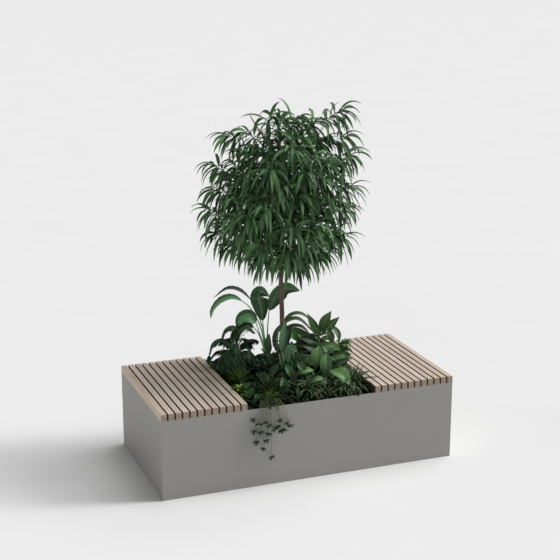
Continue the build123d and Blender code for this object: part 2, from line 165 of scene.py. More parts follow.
def finish_piece(mesh, name, slot, stands_for, sharp):
    """Makes the object for a finished mesh, smooth but for edges past the sharp angle, on the planter."""
    mesh.shade_smooth()
    mesh.set_sharp_from_angle(angle=math.radians(sharp))
    mesh.materials.append(MATERIALS[slot])
    piece = bpy.data.objects.new(name, mesh)
    bpy.context.scene.collection.objects.link(piece)
    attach(piece, BODY)
    if stands_for:
        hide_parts(*stands_for)


@dataclass
class Blade:
    """What all leaves of one kind share. Lengths are in metres, and shares are of the leaf's length."""

    stalk: float = 0.08  # share
    stalk_half: float = 0.0012
    peak: float = 0.4  # where the blade is widest, as a share of the blade
    base_power: float = 0.8  # lower is blunter, at the base and at the tip
    tip_power: float = 0.8
    fold: float = 25.0  # how far each half is raised, in degrees
    thickness: float = 0.0006
    columns: int = 3  # points across the top side
    steps: int = 8
    pleat: float = 0.0  # height of the pleats
    pleats: float = 0.0  # pleats along the leaf


def half_widths(kind, widths):
    """Each leaf's half width at each step: a stalk, then a blade that swells and closes to a point."""
    along = np.linspace(0, 1, kind.steps + 1)
    blade = np.clip((along - kind.stalk) / (1 - kind.stalk), 0, 1)
    rising = np.sin(math.pi / 2 * np.clip(blade / kind.peak, 0, 1)) ** kind.base_power
    falling = np.cos(math.pi / 2 * np.clip((blade - kind.peak) / (1 - kind.peak), 0, 1)) ** kind.tip_power
    near_tip = along > 0.9
    least = np.where(near_tip, kind.stalk_half * 0.2, kind.stalk_half)
    return np.maximum((rising * falling)[None] * widths[:, None] / 2, least)


def add_leaves(cluster, kind, spines, sides, widths, tones):
    """Adds closed leaves: spines and sides are shaped (leaves, steps + 1, 3)."""
    tangents = unit(np.gradient(spines, axis=1))
    sides = square_to(sides, tangents)
    normals = np.cross(sides, tangents)
    top = np.linspace(-1, 1, kind.columns)
    ring = np.concatenate((top, top[-2:0:-1]))
    under = np.arange(len(ring)) >= kind.columns
    half = half_widths(kind, widths)
    out = half[..., None] * ring
    rise = np.abs(out) * math.tan(math.radians(kind.fold))
    if kind.pleat:
        along = np.linspace(0, 1, kind.steps + 1)
        wave = np.sin(2 * math.pi * kind.pleats * (along[:, None] - 0.25 * np.abs(ring)))
        outwards = np.abs(ring) * 0.7 + 0.3
        fullness = half / half.max(axis=1, keepdims=True)
        rise += kind.pleat * wave * outwards * fullness[..., None]
    in_stalk = np.clip(1 - half / (kind.stalk_half * 2.5), 0, 1)
    depth = kind.thickness + in_stalk * kind.stalk_half * 1.6
    rise -= under * np.minimum(depth, half * 1.6)[..., None]
    rings = spines[:, :, None] + sides[:, :, None] * out[..., None] + normals[:, :, None] * rise[..., None]
    cluster.add(rings, ring, tones)


def settle(here, last):
    """Moves the next points of arching leaves out of the walls, the seats and the soil.

    A leaf that comes from above lies on what it meets, and one that comes from below turns along it.
    """
    here = here.copy()
    rounding, well_below = 1e-6, 0.012
    spread = np.abs(here[:, :2])
    top = np.where(spread[:, 0] < BED_REACH[0], WALL_TOP, SEAT_TOP) + LEAF_CLEARANCE
    under = (spread > BED_REACH).any(1) & (here[:, 2] < top)
    from_bed = (np.abs(last[:, :2]) <= BED_REACH + rounding).all(1)
    blocked = under & from_bed & (last[:, 2] < top - well_below)
    lying = under & ~blocked & (spread < BOX_REACH).all(1)
    here[lying, 2] = top[lying]
    here[blocked, :2] = np.clip(here[blocked, :2], -BED_REACH, BED_REACH)
    over_soil = (np.abs(here[:, :2]) <= BED_REACH + rounding).all(1)
    here[over_soil, 2] = np.maximum(here[over_soil, 2], SOIL_TOP + LEAF_CLEARANCE)
    return here


def arching(starts, ways, lengths, droops, steps):
    """Midribs that leave their starts along the ways and bend down under their own weight."""
    way = unit(ways)
    spine = [starts]
    step_length = (lengths / steps)[:, None]
    for step in range(steps):
        weight = droops * (0.5 + (step + 0.5) / steps) / steps
        way = unit(way - UP * weight[:, None])
        here = settle(spine[-1] + way * step_length, spine[-1])
        moved = np.linalg.norm(here - spine[-1], axis=1, keepdims=True)
        here = np.where(moved < 0.3 * step_length, spine[-1] + UP * 0.4 * step_length, here)
        spine.append(here)
    return np.stack(spine, axis=1)


def rolled_sides(ways, spines, rolls):
    """Level side directions for arching leaves, rolled about each midrib."""
    level = unit(np.cross(ways, UP))[:, None]
    tangents = unit(np.gradient(spines, axis=1))
    level = square_to(np.broadcast_to(level, spines.shape), tangents)
    normals = np.cross(level, tangents)
    turn = rolls[:, None, None]
    return level * np.cos(turn) + normals * np.sin(turn)


def grow(cluster, kind, starts, ways, lengths, widths, droops, rolls, tones):
    """Adds leaves that arch from their starts."""
    starts, ways = np.atleast_2d(starts), np.atleast_2d(ways)
    spines = arching(starts, ways, lengths, droops, kind.steps)
    add_leaves(cluster, kind, spines, rolled_sides(ways, spines, rolls), widths, tones)


def add_stems(cluster, paths, radii, tones, sides=6):
    """Adds round stems: paths is shaped (stems, points, 3) and radii (stems, points)."""
    paths, radii = np.asarray(paths, float), np.asarray(radii, float)
    tangents = unit(np.gradient(paths, axis=1))
    helper = np.where(np.abs(tangents[..., 2:]) > 0.9, (1.0, 0.0, 0.0), UP)
    one = unit(np.cross(tangents, helper))
    two = np.cross(tangents, one)
    turn = -np.arange(sides) * 2 * math.pi / sides
    rings = paths[:, :, None] + radii[..., None, None] * (
        one[:, :, None] * np.cos(turn)[:, None] - two[:, :, None] * np.sin(turn)[:, None]
    )
    cluster.add(rings, np.zeros(sides), tones)


def directions(turns, rises):
    """Directions from their turn about Z and their rise above the horizontal, in radians."""
    flat = np.cos(rises)
    return np.stack((np.cos(turns) * flat, np.sin(turns) * flat, np.sin(rises)), axis=-1)


# ---- materials -----------------------------------------------------------------------------------------
def linear(value):
    """A screen's value, 0 to 255, in the renderer's own linear values."""
    if value > 10:
        return ((value / 255 + 0.055) / 1.055) ** 2.4
    return value / 255 / 12.92


def colour(red, green, blue):
    """A colour as it shows on a screen, 0 to 255 each."""
    return linear(red), linear(green), linear(blue), 1.0


def part(share):
    """A grey that says how much of a second colour a mix takes."""
    return share, share, share, 1.0


WHITE = (1.0, 1.0, 1.0, 1.0)


# each finished material, by its slot
MATERIALS = {}


class Surface:
    """A material with one Principled shader and the nodes that feed it."""

    def __init__(self, name, roughness=0.5, metallic=0.0, specular=0.5):
        self.slot = name
        self.material = bpy.data.materials.new(name)
        self.material.use_nodes = True
        self.nodes = self.material.node_tree.nodes
        self.links = self.material.node_tree.links
        self.nodes.clear()
        output = self.nodes.new("ShaderNodeOutputMaterial")
        self.shader = self.nodes.new("ShaderNodeBsdfPrincipled")
        self.links.new(self.shader.outputs[0], output.inputs["Surface"])
        self.shader.inputs["Roughness"].default_value = roughness
        self.shader.inputs["Metallic"].default_value = metallic
        self.shader.inputs["Specular IOR Level"].default_value = specular

    def plug(self, value, socket):
        if isinstance(value, bpy.types.NodeSocket):
            self.links.new(value, socket)
        else:
            socket.default_value = value

    def node(self, kind, inputs, output=0, **settings):
        """Adds a node with these settings and inputs, and gives one of its outputs."""
        node = self.nodes.new("ShaderNode" + kind)
        for name, value in settings.items():
            setattr(node, name, value)
        for key, value in inputs.items():
            self.plug(value, node.inputs[key])
        return node.outputs[output]

    def place(self, scale=(1, 1, 1), shuffle=0.0):
        """Object coordinates, stretched, and shifted by a different amount on each object."""
        source = self.node("TexCoord", {}, "Object")
        if shuffle:
            shift = self.times(self.node("ObjectInfo", {}, "Random"), shuffle)
            source = self.node("VectorMath", {0: source, 1: shift}, operation="ADD")
        return self.node("VectorMath", {0: source, 1: scale}, operation="MULTIPLY")

    def noise(self, place, scale=1.0, detail=2.0, roughness=0.5, distortion=0.0):
        grain = {"Scale": scale, "Detail": detail, "Roughness": roughness, "Distortion": distortion}
        return self.node("TexNoise", {"Vector": place, **grain})

    def cells(self, place, scale, output="Distance"):
        return self.node("TexVoronoi", {"Vector": place, "Scale": scale}, output)

    def maths(self, operation, a, b=0.0, clamp=False):
        return self.node("Math", {0: a, 1: b}, operation=operation, use_clamp=clamp)

    def times(self, a, b):
        return self.maths("MULTIPLY", a, b)

    def plus(self, a, b, clamp=False):
        return self.maths("ADD", a, b, clamp)

    def ramp(self, factor, *stops):
        node = self.nodes.new("ShaderNodeValToRGB")
        self.plug(factor, node.inputs[0])
        elements = node.color_ramp.elements
        while len(elements) < len(stops):
            elements.new(0.5)
        for element, (position, value) in zip(elements, stops):
            element.position = position
            element.color = value
        return node.outputs[0]

    def mix(self, factor, a, b, blend="MIX"):
        return self.node("Mix", {"Factor": factor, 6: a, 7: b}, 2, data_type="RGBA", blend_type=blend)

    def tint(self, factor, a, b):
        return self.mix(factor, a, b, "MULTIPLY")

    def span(self, value, low, high):
        """A value from 0 to 1, taken to low to high."""
        return self.node("MapRange", {"Value": value, "To Min": low, "To Max": high})

    def stained(self, place, scale, detail, *stops):
        """Noise, coloured by the stops of a ramp."""
        return self.ramp(self.noise(place, scale, detail), *stops)

    def varied(self, place, scale, detail, low, high):
        """Noise, taken to low to high."""
        return self.span(self.noise(place, scale, detail), low, high)

    def axes(self, vector):
        """A vector's X, Y and Z."""
        apart = self.nodes.new("ShaderNodeSeparateXYZ")
        self.plug(vector, apart.inputs[0])
        return apart.outputs

    def marks(self):
        """A leaf's own coordinates: across the blade from -1 to 1, along it from 0 to 1, and its tone."""
        return self.axes(self.node("Attribute", {}, "Vector", attribute_name="leaf"))

    def finish(self, base, roughness=None, height=None, strength=0.3, distance=0.001):
        self.plug(base, self.shader.inputs["Base Color"])
        if roughness is not None:
            self.plug(roughness, self.shader.inputs["Roughness"])
        if height is not None:
            bump = self.node("Bump", {"Strength": strength, "Distance": distance, "Height": height})
            self.plug(bump, self.shader.inputs["Normal"])
        MATERIALS[self.slot] = self.material
        return self.material


def coated_steel():
    """Warm grey powder coating with the fine skin that it cures to."""
    surface = Surface("shell_coating", specular=0.4)
    place = surface.place()
    drift = surface.stained(place, 2.2, 3.0, (0.3, colour(148, 147, 143)), (0.7, colour(153, 152, 148)))
    fine = surface.stained(place, 420.0, 3.0, (0.35, colour(146, 145, 141)), (0.65, colour(154, 153, 149)))
    roughness = surface.varied(place, 35.0, 3.0, 0.5, 0.62)
    skin = surface.noise(place, 900.0, 2.0)
    return surface.finish(surface.mix(0.5, drift, fine), roughness, skin, 0.12, 0.0004)


def oiled_wood():
    """Pale weathered hardwood, its grain along Y, different on each slat.

    The end grain is darker, and the sides that face a gap between slats are darkened with painted shade.
    """
    surface = Surface("seat_wood", specular=0.3)
    long_grain = surface.noise(surface.place((130, 2.6, 130), 7.0), 1.0, 4.0, 0.6, 0.6)
    fibres = surface.noise(surface.place((900, 22, 900), 5.0), 1.0, 2.0)
    flecks = surface.noise(surface.place((420, 55, 420), 3.0), 1.0, 3.0, 0.7)
    base = surface.ramp(
        long_grain,
        (0.28, colour(192, 177, 163)), (0.5, colour(215, 203, 191)), (0.72, colour(228, 217, 207)),
    )
    fine = surface.ramp(fibres, (0.3, colour(204, 188, 174)), (0.6, colour(230, 221, 212)))
    base = surface.mix(0.45, base, fine)
    dots = surface.ramp(flecks, (0.55, WHITE), (0.75, colour(205, 194, 184)))
    base = surface.tint(0.6, base, dots)
    own = surface.ramp(
        surface.node("ObjectInfo", {}, "Random"),
        (0.0, colour(234, 229, 225)), (0.5, colour(252, 248, 244)), (1.0, colour(241, 232, 222)),
    )
    base = surface.tint(1.0, base, own)
    normal = surface.axes(surface.node("TexCoord", {}, "Normal"))
    on_side, on_end = (
        surface.maths("GREATER_THAN", surface.maths("ABSOLUTE", normal[axis]), 0.7) for axis in (0, 1)
    )
    from_middle = surface.maths("ABSOLUTE", surface.axes(surface.place())[0])
    not_outermost = surface.maths("LESS_THAN", from_middle, float(CAD_HIGH.x) - 0.001)
    rings = surface.ramp(
        surface.noise(surface.place((160, 1, 420), 4.0), 1.0, 3.0, 0.6, 1.0),
        (0.35, colour(132, 116, 100)), (0.65, colour(170, 154, 136)),
    )
    base = surface.mix(on_end, base, rings)
    # painted shade: the slat sides that face a gap are darkened, as little light reaches down into the gaps
    gap_side_painted_shade = surface.tint(0.9, base, colour(60, 44, 34))
    base = surface.mix(surface.times(on_side, not_outermost), base, gap_side_painted_shade)
    height = surface.plus(surface.times(fibres, 0.7), surface.times(flecks, 0.5))
    return surface.finish(base, surface.span(long_grain, 0.55, 0.75), height, 0.35, 0.0006)


def zinc():
    """Galvanised steel with the flat crystals of its zinc."""
    surface = Surface("galvanised_steel", metallic=0.85)
    place = surface.place()
    crystals = surface.cells(place, 110.0, "Color")
    tone = surface.ramp(crystals, (0.1, colour(128, 132, 136)), (0.9, colour(176, 180, 184)))
    dull = surface.stained(place, 14.0, 4.0, (0.4, WHITE), (0.8, colour(200, 200, 200)))
    roughness = surface.varied(place, 60.0, 3.0, 0.38, 0.6)
    skin = surface.noise(place, 300.0, 2.0)
    return surface.finish(surface.tint(1.0, tone, dull), roughness, skin, 0.15, 0.0004)


def bright_steel():
    """Stainless fasteners, turned and slightly dulled."""
    surface = Surface("fastener_steel", metallic=1.0)
    place = surface.place()
    base = surface.stained(place, 180.0, 3.0, (0.3, colour(158, 160, 163)), (0.7, colour(196, 198, 200)))
    roughness = surface.varied(place, 400.0, 2.0, 0.25, 0.42)
    return surface.finish(base, roughness, surface.noise(place, 1200.0, 1.0), 0.1, 0.0002)


def plastic(name, dark, light, roughness, grain):
    """Moulded or extruded plastic with a fine grain and slight streaks."""
    surface = Surface(name, specular=0.45)
    place = surface.place()
    base = surface.stained(place, 25.0, 4.0, (0.3, colour(*dark)), (0.7, colour(*light)))
    roughness = surface.varied(place, 90.0, 3.0, roughness - 0.08, roughness + 0.1)
    return surface.finish(base, roughness, surface.noise(place, grain, 2.0), 0.2, 0.0005)


def pebbles():
    """Washed gravel."""
    surface = Surface("gravel")
    place = surface.place()
    stones = surface.cells(place, 90.0)
    tones = surface.cells(place, 90.0, "Color")
    base = surface.ramp(tones, (0.0, colour(96, 90, 84)), (1.0, colour(176, 168, 156)))
    # painted shade: each stone is darkened towards its edge, where the crevices between stones lie in shade
    painted_shade_between_stones = surface.ramp(stones, (0.35, WHITE), (0.75, colour(60, 56, 52)))
    height = surface.maths("SUBTRACT", 1.0, stones)
    return surface.finish(surface.tint(1.0, base, painted_shade_between_stones), 0.7, height, 0.8, 0.006)


def felt():
    """Needled fleece."""
    surface = Surface("fleece")
    place = surface.place()
    fibres = surface.noise(place, 700.0, 4.0, 0.8)
    base = surface.ramp(fibres, (0.3, colour(150, 150, 146)), (0.7, colour(206, 206, 200)))
    surface.shader.inputs["Sheen Weight"].default_value = 0.3
    return surface.finish(base, 0.95, fibres, 0.5, 0.001)


def earth():
    """Dark planting soil with crumbs and a few bits of bark."""
    surface = Surface("soil", specular=0.2)
    place = surface.place()
    crumbs = surface.noise(place, 140.0, 5.0, 0.7)
    base = surface.ramp(
        crumbs, (0.3, colour(22, 17, 13)), (0.55, colour(46, 36, 28)), (0.8, colour(78, 62, 48))
    )
    bits = surface.ramp(surface.cells(place, 70.0, "Color"), (0.86, WHITE), (0.9, colour(255, 214, 170)))
    return surface.finish(surface.tint(0.6, base, bits), 0.9, crumbs, 0.9, 0.004)


def bark():
    """Reddish grey bark with fine rings and lengthways cracks."""
    surface = Surface("bark", specular=0.25)
    cracks = surface.noise(surface.place((170, 170, 26)), 1.0, 4.0, 0.65)
    rings = surface.noise(surface.place((20, 20, 150)), 1.0, 3.0)
    base = surface.ramp(
        cracks, (0.3, colour(72, 61, 53)), (0.55, colour(108, 94, 84)), (0.8, colour(144, 129, 118))
    )
    bands = surface.ramp(rings, (0.4, WHITE), (0.7, colour(212, 200, 192)))
    height = surface.plus(cracks, surface.times(rings, 0.5))
    base = surface.tint(0.7, base, bands)
    return surface.finish(base, surface.span(cracks, 0.6, 0.85), height, 0.6, 0.002)


def foliage(name, shade, light, rib, roughness=0.42, specular=0.3, ribs=0.0, stripes=0.0, painted_half_shade=0.0):
    """Leaf skin: patchy, each leaf with its own tone and a paler midrib.

    Ribs is the number of side ribs, stripes how closely pale stripes run beside the midrib, and the half
    shade how dark the painted shade on one half of the blade is.
    """
    surface = Surface(name, specular=specular)
    shade, light, rib = colour(*shade), colour(*light), colour(*rib)
    across, along, tone = surface.marks()
    place = surface.place()
    patches = surface.noise(place, 38.0, 3.0)
    mottle = surface.noise(place, 260.0, 2.0)
    blend = surface.plus(surface.times(tone, 0.62), surface.times(patches, 0.3))
    blend = surface.plus(blend, surface.times(mottle, 0.08), clamp=True)
    base = surface.ramp(blend, (0.15, shade), (0.85, light))
    side = surface.maths("ABSOLUTE", across)
    height = mottle
    if ribs:
        slant = surface.maths("SUBTRACT", surface.times(along, ribs), surface.times(side, 2.2))
        wave = surface.maths("SINE", surface.times(slant, 2 * math.pi))
        lines = surface.ramp(surface.span(wave, 0.5, 1.0), (0.9, part(0.0)), (1.0, part(0.32)))
        base = surface.mix(lines, base, rib)
        height = surface.plus(mottle, wave)
    if stripes:
        bands = surface.maths("SINE", surface.times(across, stripes * math.pi))
        lines = surface.ramp(surface.span(bands, 0.5, 1.0), (0.82, part(0.0)), (0.95, part(0.7)))
        base = surface.mix(lines, base, rib)
    # painted shade: one half of each blade is mixed towards the shade colour, as if turned away from the
    # light
    if painted_half_shade:
        half = surface.ramp(surface.span(across, 0.0, 1.0), (0.42, part(0.0)), (0.58, part(painted_half_shade)))
        base = surface.mix(half, base, shade)
    midrib = surface.ramp(side, (0.0, part(0.85)), (0.16, part(0.0)))
    base = surface.mix(midrib, base, rib)
    gloss = surface.span(patches, roughness - 0.08, roughness + 0.14)
    return surface.finish(base, gloss, height, 0.25, 0.0008)


def make_materials():
    """Makes the material of every slot."""
    coated_steel()
    oiled_wood()
    zinc()
    bright_steel()
    plastic("liner_plastic", (22, 20, 19), (38, 34, 32), 0.5, 350.0)
    plastic("skid_plastic", (40, 40, 42), (70, 70, 72), 0.7, 160.0)
    plastic("drain_plastic", (28, 28, 30), (44, 44, 46), 0.4, 500.0)
    pebbles()
    felt()
    earth()
    bark()
    # the plants: the colours of a leaf's shade, light and rib, then its gloss, its pattern and the painted
    # shade on one half
    foliage("tree_leaf", (12, 36, 16), (104, 146, 96), (112, 150, 102), 0.5, 0.2)
    foliage("paddle_leaf", (6, 25, 15), (114, 162, 114), (138, 174, 132), 0.38, 0.22, ribs=26.0, painted_half_shade=0.62)
    foliage("broad_leaf", (16, 32, 19), (104, 148, 90), (136, 166, 114), 0.36, ribs=9.0, painted_half_shade=0.3)
    foliage("fern_leaf", (9, 20, 14), (78, 116, 76), (82, 114, 80), 0.4, 0.22)
    foliage("grass_leaf", (8, 17, 12), (64, 92, 54), (150, 168, 122), specular=0.22, stripes=3.0)
    foliage("spider_leaf", (16, 28, 12), (120, 152, 66), (128, 148, 84))
    foliage("runner_stem", (40, 50, 32), (84, 94, 60), (96, 104, 72))


# parts of the names of the CAD nodes that stay in view, by slot
DRESSED = {
    "shell_coating": ("_panel",),
    "galvanised_steel": (
        "_bulkhead", "base_plate", "corner_angles", "bearer_cleats", "_seat_bearers", "foot_",
    ),
    "seat_wood": ("_slat_",),
    "fastener_steel": ("shell_fixings", "bearer_rivets", "slat_screws"),
    "liner_plastic": ("planting_liner",),
    "skid_plastic": ("base_skids",),
    "drain_plastic": ("drain_outlets",),
    "gravel": ("drainage_gravel",),
    "fleece": ("filter_fleece",),
}


def dress_cad_nodes():
    """Gives each CAD node that stays in view the material of its slot."""
    for slot, words in DRESSED.items():
        for name in NODES:
            if any(word in name for word in words):
                materials = NODES[name].data.materials
                materials.clear()
                materials.append(MATERIALS[slot])


# ---- the planting bed ----------------------------------------------------------------------------------
def make_soil():
    """The filled trough: one closed block with a crumbly, uneven top."""
    rng = np.random.default_rng(3)
    cell, inset = 0.006, 0.0005
    across = np.linspace(SOIL_LOW[0] + inset, SOIL_HIGH[0] - inset, int((SOIL_HIGH[0] - SOIL_LOW[0]) / cell))
    deep = np.linspace(SOIL_LOW[1] + inset, SOIL_HIGH[1] - inset, int((SOIL_HIGH[1] - SOIL_LOW[1]) / cell))
    x, y = np.meshgrid(across, deep, indexing="ij")
    swell = 0.004 * np.sin(x * 21 + 1.0) * np.sin(y * 17 + 0.4) + 0.003 * np.sin(x * 47 + y * 39)
    crumbs = rng.random(x.shape)
    crumbs = (crumbs + np.roll(crumbs, 1, 0) + np.roll(crumbs, 1, 1) + np.roll(crumbs, (1, 1), (0, 1))) / 4
    top = np.stack((x, y, SOIL_TOP + swell + 0.009 * (crumbs - 0.5)), axis=-1)
    rows, columns = x.shape
    index = np.arange(rows * columns).reshape(rows, columns)
    quads = np.stack((index[:-1, :-1], index[1:, :-1], index[1:, 1:], index[:-1, 1:]), axis=-1)
    faces = quads.reshape(-1, 4)
    rim = np.concatenate((index[:-1, 0], index[-1, :-1], index[:0:-1, -1], index[0, :0:-1]))
    points = top.reshape(-1, 3)
    foot = points[rim].copy()
    foot[:, 2] = SOIL_LOW[2]
    foot_index = rows * columns + np.arange(len(rim))
    walls = np.stack((rim, foot_index, np.roll(foot_index, -1), np.roll(rim, -1)), axis=-1)
    mesh = bpy.data.meshes.new("soil_mass")
    mesh.from_pydata(np.vstack((points, foot)).tolist(), [],
                     faces.tolist() + walls.tolist() + [foot_index[::-1].tolist()])
    finish_piece(mesh, "soil_mass", "soil", ("soil", "root_balls"), sharp=60.0)


# ---- the tree ------------------------------------------------------------------------------------------
TREE_LEAF = Blade(stalk=0.06, stalk_half=0.0007, peak=0.34, base_power=0.75, tip_power=0.95, fold=24.0,
                  thickness=0.0005, steps=8)

TRUNK_FOOT_RADIUS = (TRUNK_HIGH[1] - TRUNK_LOW[1]) / 2
TRUNK_FOOT_X = TRUNK_HIGH[0] - TRUNK_FOOT_RADIUS
TRUNK_TIP_RADIUS = 0.006
TRUNK_TIP_X = TRUNK_LOW[0] + TRUNK_TIP_RADIUS


def trunk_line(heights):
    """The trunk's centre at each height: a slight lean and two slow bends."""
    heights = np.asarray(heights, float)
    share = (heights - TRUNK_LOW[2]) / (TRUNK_HIGH[2] - TRUNK_LOW[2])
    lean = TRUNK_FOOT_X + (TRUNK_TIP_X - TRUNK_FOOT_X) * share
    bend = 0.004 * np.sin(share * 7.0)
    return np.stack((lean + bend, 0.004 * np.sin(share * 5.0 + 1.0), heights), axis=-1)


def make_trunk():
    """The slender trunk, swollen a little at its foot and at old leaf scars."""
    rings = 90
    heights = np.linspace(TRUNK_LOW[2] - 0.003, TRUNK_HIGH[2], rings)
    share = np.linspace(0, 1, rings)
    radii = TRUNK_FOOT_RADIUS * 1.08 + (TRUNK_TIP_RADIUS - TRUNK_FOOT_RADIUS) * share**1.3
    radii = radii * (1 + 0.05 * np.sin(heights * 95) ** 4) + 0.004 * np.exp(-share * 60)
    cluster = Cluster()
    add_stems(cluster, trunk_line(heights)[None], radii[None], [0.5], 14)
    cluster.piece("trunk", "bark", "tree_trunk")


# where the shoots of the crown's outline end, in millimetres: across, away and height
OUTER_SHOOTS = (
    (-55, 20, 1835), (-10, -90, 1820), (65, 40, 1805), (155, 30, 1800), (245, -20, 1832), (300, 50, 1850),
    (315, -40, 1725), (345, 60, 1615), (335, -40, 1465), (322, 50, 1340), (300, -40, 1205),
    (222, 20, 1115), (145, -70, 1105), (-75, 50, 1120), (-145, -50, 1095), (-220, 40, 1125),
    (-285, -30, 1150), (-365, 20, 1205), (-400, -20, 1345), (-370, 50, 1425), (-370, -30, 1580),
    (-295, 0, 1722), (-200, -20, 1745),
)
# the crown's body, in millimetres: height, and how far its shoots reach left and right
CROWN = metres((
    (1060, 100, 140), (1120, 240, 220), (1220, 320, 280), (1360, 350, 300), (1480, 330, 310),
    (1580, 280, 310), (1680, 190, 280), (1770, 60, 190),
))
SHOOT_SPACING = 0.098
BRANCHES = 18
BRANCH_REACH = 0.23
LEAVES_PER_SHOOT = 15
TREE_LEAF_LENGTH = 0.156
TREE_LEAF_WIDTH = 0.0192


def branch_tips(rng):
    """Where the leafy shoots end: those of the outline first, then others spaced apart through the body."""
    tips = [at(ORIGIN, *metres(shoot)) for shoot in OUTER_SHOOTS]
    tries = 6000
    for _ in range(tries):
        height = rng.uniform(CROWN[0, 0], CROWN[-1, 0])
        left, right = (np.interp(height, CROWN[:, 0], CROWN[:, side]) for side in (1, 2))
        half = (left + right) / 2
        turn, share = rng.uniform(0, 2 * math.pi), math.sqrt(rng.random())
        across = (right - left) / 2 + half * share * math.cos(turn)
        spot = at(ORIGIN, across, half * share * math.sin(turn), height)
        if np.linalg.norm(np.array(tips) - spot, axis=1).min() > SHOOT_SPACING:
            tips.append(spot)
    return np.array(tips)


def branch_frame(rng):
    """The main branches as curves, from the trunk outwards and up, the upper ones shorter and steeper."""
    lines = []
    for number in range(BRANCHES):
        share = (number + 0.5) / BRANCHES
        start = trunk_line([CROWN_FOOT + 0.08 + share * 0.62])[0]
        out = directions(number * GOLDEN_ANGLE, 0.0)
        length = BRANCH_REACH * (1.15 - 0.5 * share) * rng.uniform(0.9, 1.1)
        lift = 0.06 + 0.12 * share
        bends = ((0.0, 0.0), (0.35, 0.2), (0.75, 0.65), (1.0, 1.0))
        points = [start + out * length * far + UP * lift * high for far, high in bends]
        lines.append(smooth_path(points, 10))
    return np.array(lines)


def twigs_to(tips, lines):
    """A bowed twig to each tip from near wood, rather below the tip than above it, and its end's way."""
    on_trunk = trunk_line(np.linspace(1.05, TRUNK_HIGH[2] - 0.02, 24))
    joints = np.concatenate((lines[:, 2:].reshape(-1, 3), on_trunk))
    twigs, ends = [], []
    for tip in tips:
        apart = tip - joints
        cost = np.linalg.norm(apart, axis=1) + 0.6 * np.maximum(-apart[:, 2], 0)
        start = joints[np.argmin(cost)]
        bow = (start + tip) / 2 + UP * 0.12 * np.linalg.norm(tip - start)
        path = smooth_path((start, bow, tip), 8)
        twigs.append(path)
        ends.append(unit(path[-1] - path[-2]))
    return np.array(twigs), np.array(ends)


def whorls(rng, tips, ends):
    """Each tree leaf's start, way, age (0 to 1) and shoot: the youngest are nearest the shoot's axis."""
    middle = trunk_line([1.4])[0][:2]
    starts, ways, ages, shoots = [], [], [], []
    for number, (tip, end) in enumerate(zip(tips, ends)):
        outward = np.array((tip[0] - middle[0], tip[1] - middle[1], 0.0))
        outward = unit(outward + rng.normal(0, 0.05, 3) * (1, 1, 0))
        axis = unit(end * 0.6 + outward * 0.7 + UP * 0.45 + rng.normal(0, 0.15, 3))
        one = unit(np.cross(axis, UP))
        two = np.cross(axis, one)
        spin = rng.uniform(0, 2 * math.pi)
        for leaf in range(LEAVES_PER_SHOOT):
            age = (leaf + 0.5) / LEAVES_PER_SHOOT
            open_angle = math.radians(26 + 58 * age)
            turn = spin + leaf * GOLDEN_ANGLE
            around = one * math.cos(turn) + two * math.sin(turn)
            way = axis * math.cos(open_angle) + around * math.sin(open_angle)
            way[2] = min(way[2], 0.45)
            ways.append(way)
            starts.append(tip - axis * 0.075 * age)
            ages.append(age)
            shoots.append(number)
    return np.array(starts), np.array(ways), np.array(ages), np.array(shoots)


def taper(foot, tip, paths):
    """Radii that run evenly from foot to tip along each path."""
    return np.broadcast_to(np.linspace(foot, tip, paths.shape[1]), paths.shape[:2])


def make_tree_crown():
    """Branches, twigs and the long drooping leaves in whorls at the twigs' ends."""
    rng = np.random.default_rng(11)
    tips = branch_tips(rng)
    lines = branch_frame(rng)
    wood = Cluster()
    add_stems(wood, lines, taper(0.0055, 0.0026, lines), rng.random(len(lines)), 6)
    twigs, ends = twigs_to(tips, lines)
    add_stems(wood, twigs, taper(0.0022, 0.0011, twigs), rng.random(len(twigs)), 5)
    wood.piece("branches_and_twigs", "bark", "tree_branches")

    starts, ways, ages, shoots = whorls(rng, tips, ends)
    count = len(starts)
    lengths = TREE_LEAF_LENGTH * (0.7 + 0.34 * np.sqrt(ages)) * rng.uniform(0.82, 1.14, count)
    widths = TREE_LEAF_WIDTH * rng.uniform(0.85, 1.15, count)
    droops = rng.uniform(1.2, 2.4, count)
    rolls = rng.normal(0, 0.45, count)
    tones = np.clip(rng.normal(0.5, 0.28, count), 0, 1)
    thirds = np.quantile(tips[:, 2], (1 / 3, 2 / 3))
    level = np.searchsorted(thirds, tips[shoots, 2])
    for number, name in enumerate(("low", "middle", "high")):
        cluster = Cluster()
        traits = (trait[level == number] for trait in (starts, ways, lengths, widths, droops, rolls, tones))
        grow(cluster, TREE_LEAF, *traits)
        cluster.piece("tree_leaves_" + name, "tree_leaf", "tree_foliage")


# ---- the plants under the tree -------------------------------------------------------------------------
PADDLE = Blade(stalk=0.0, stalk_half=0.002, peak=0.42, base_power=0.6, tip_power=0.85, fold=26.0,
               thickness=0.0012, columns=7, steps=22, pleat=0.0014, pleats=9.0)


def facing_sides(spine, faces):
    """Side directions that turn the top of a leaf towards a direction, given as (across, away, up)."""
    towards = ACROSS * faces[0] + AWAY * faces[1] + UP * faces[2]
    return np.cross(unit(np.gradient(spine, axis=0)), towards)


def shaped_leaf(cluster, kind, spot, points, width, faces, tone):
    """One leaf, its midrib through the points (across, away, height) from the spot."""
    spine = smooth_path([at(spot, *point) for point in points], kind.steps)
    add_leaves(cluster, kind, spine[None], facing_sides(spine, faces)[None], np.array([width]), [tone])


def shaped_leaves(cluster, kind, spot, rows):
    """Leaves placed one by one: midrib, width (both in millimetres), faces and tone."""
    for points, width, faces, tone in rows:
        shaped_leaf(cluster, kind, spot, metres(points), width / 1000, faces, tone)


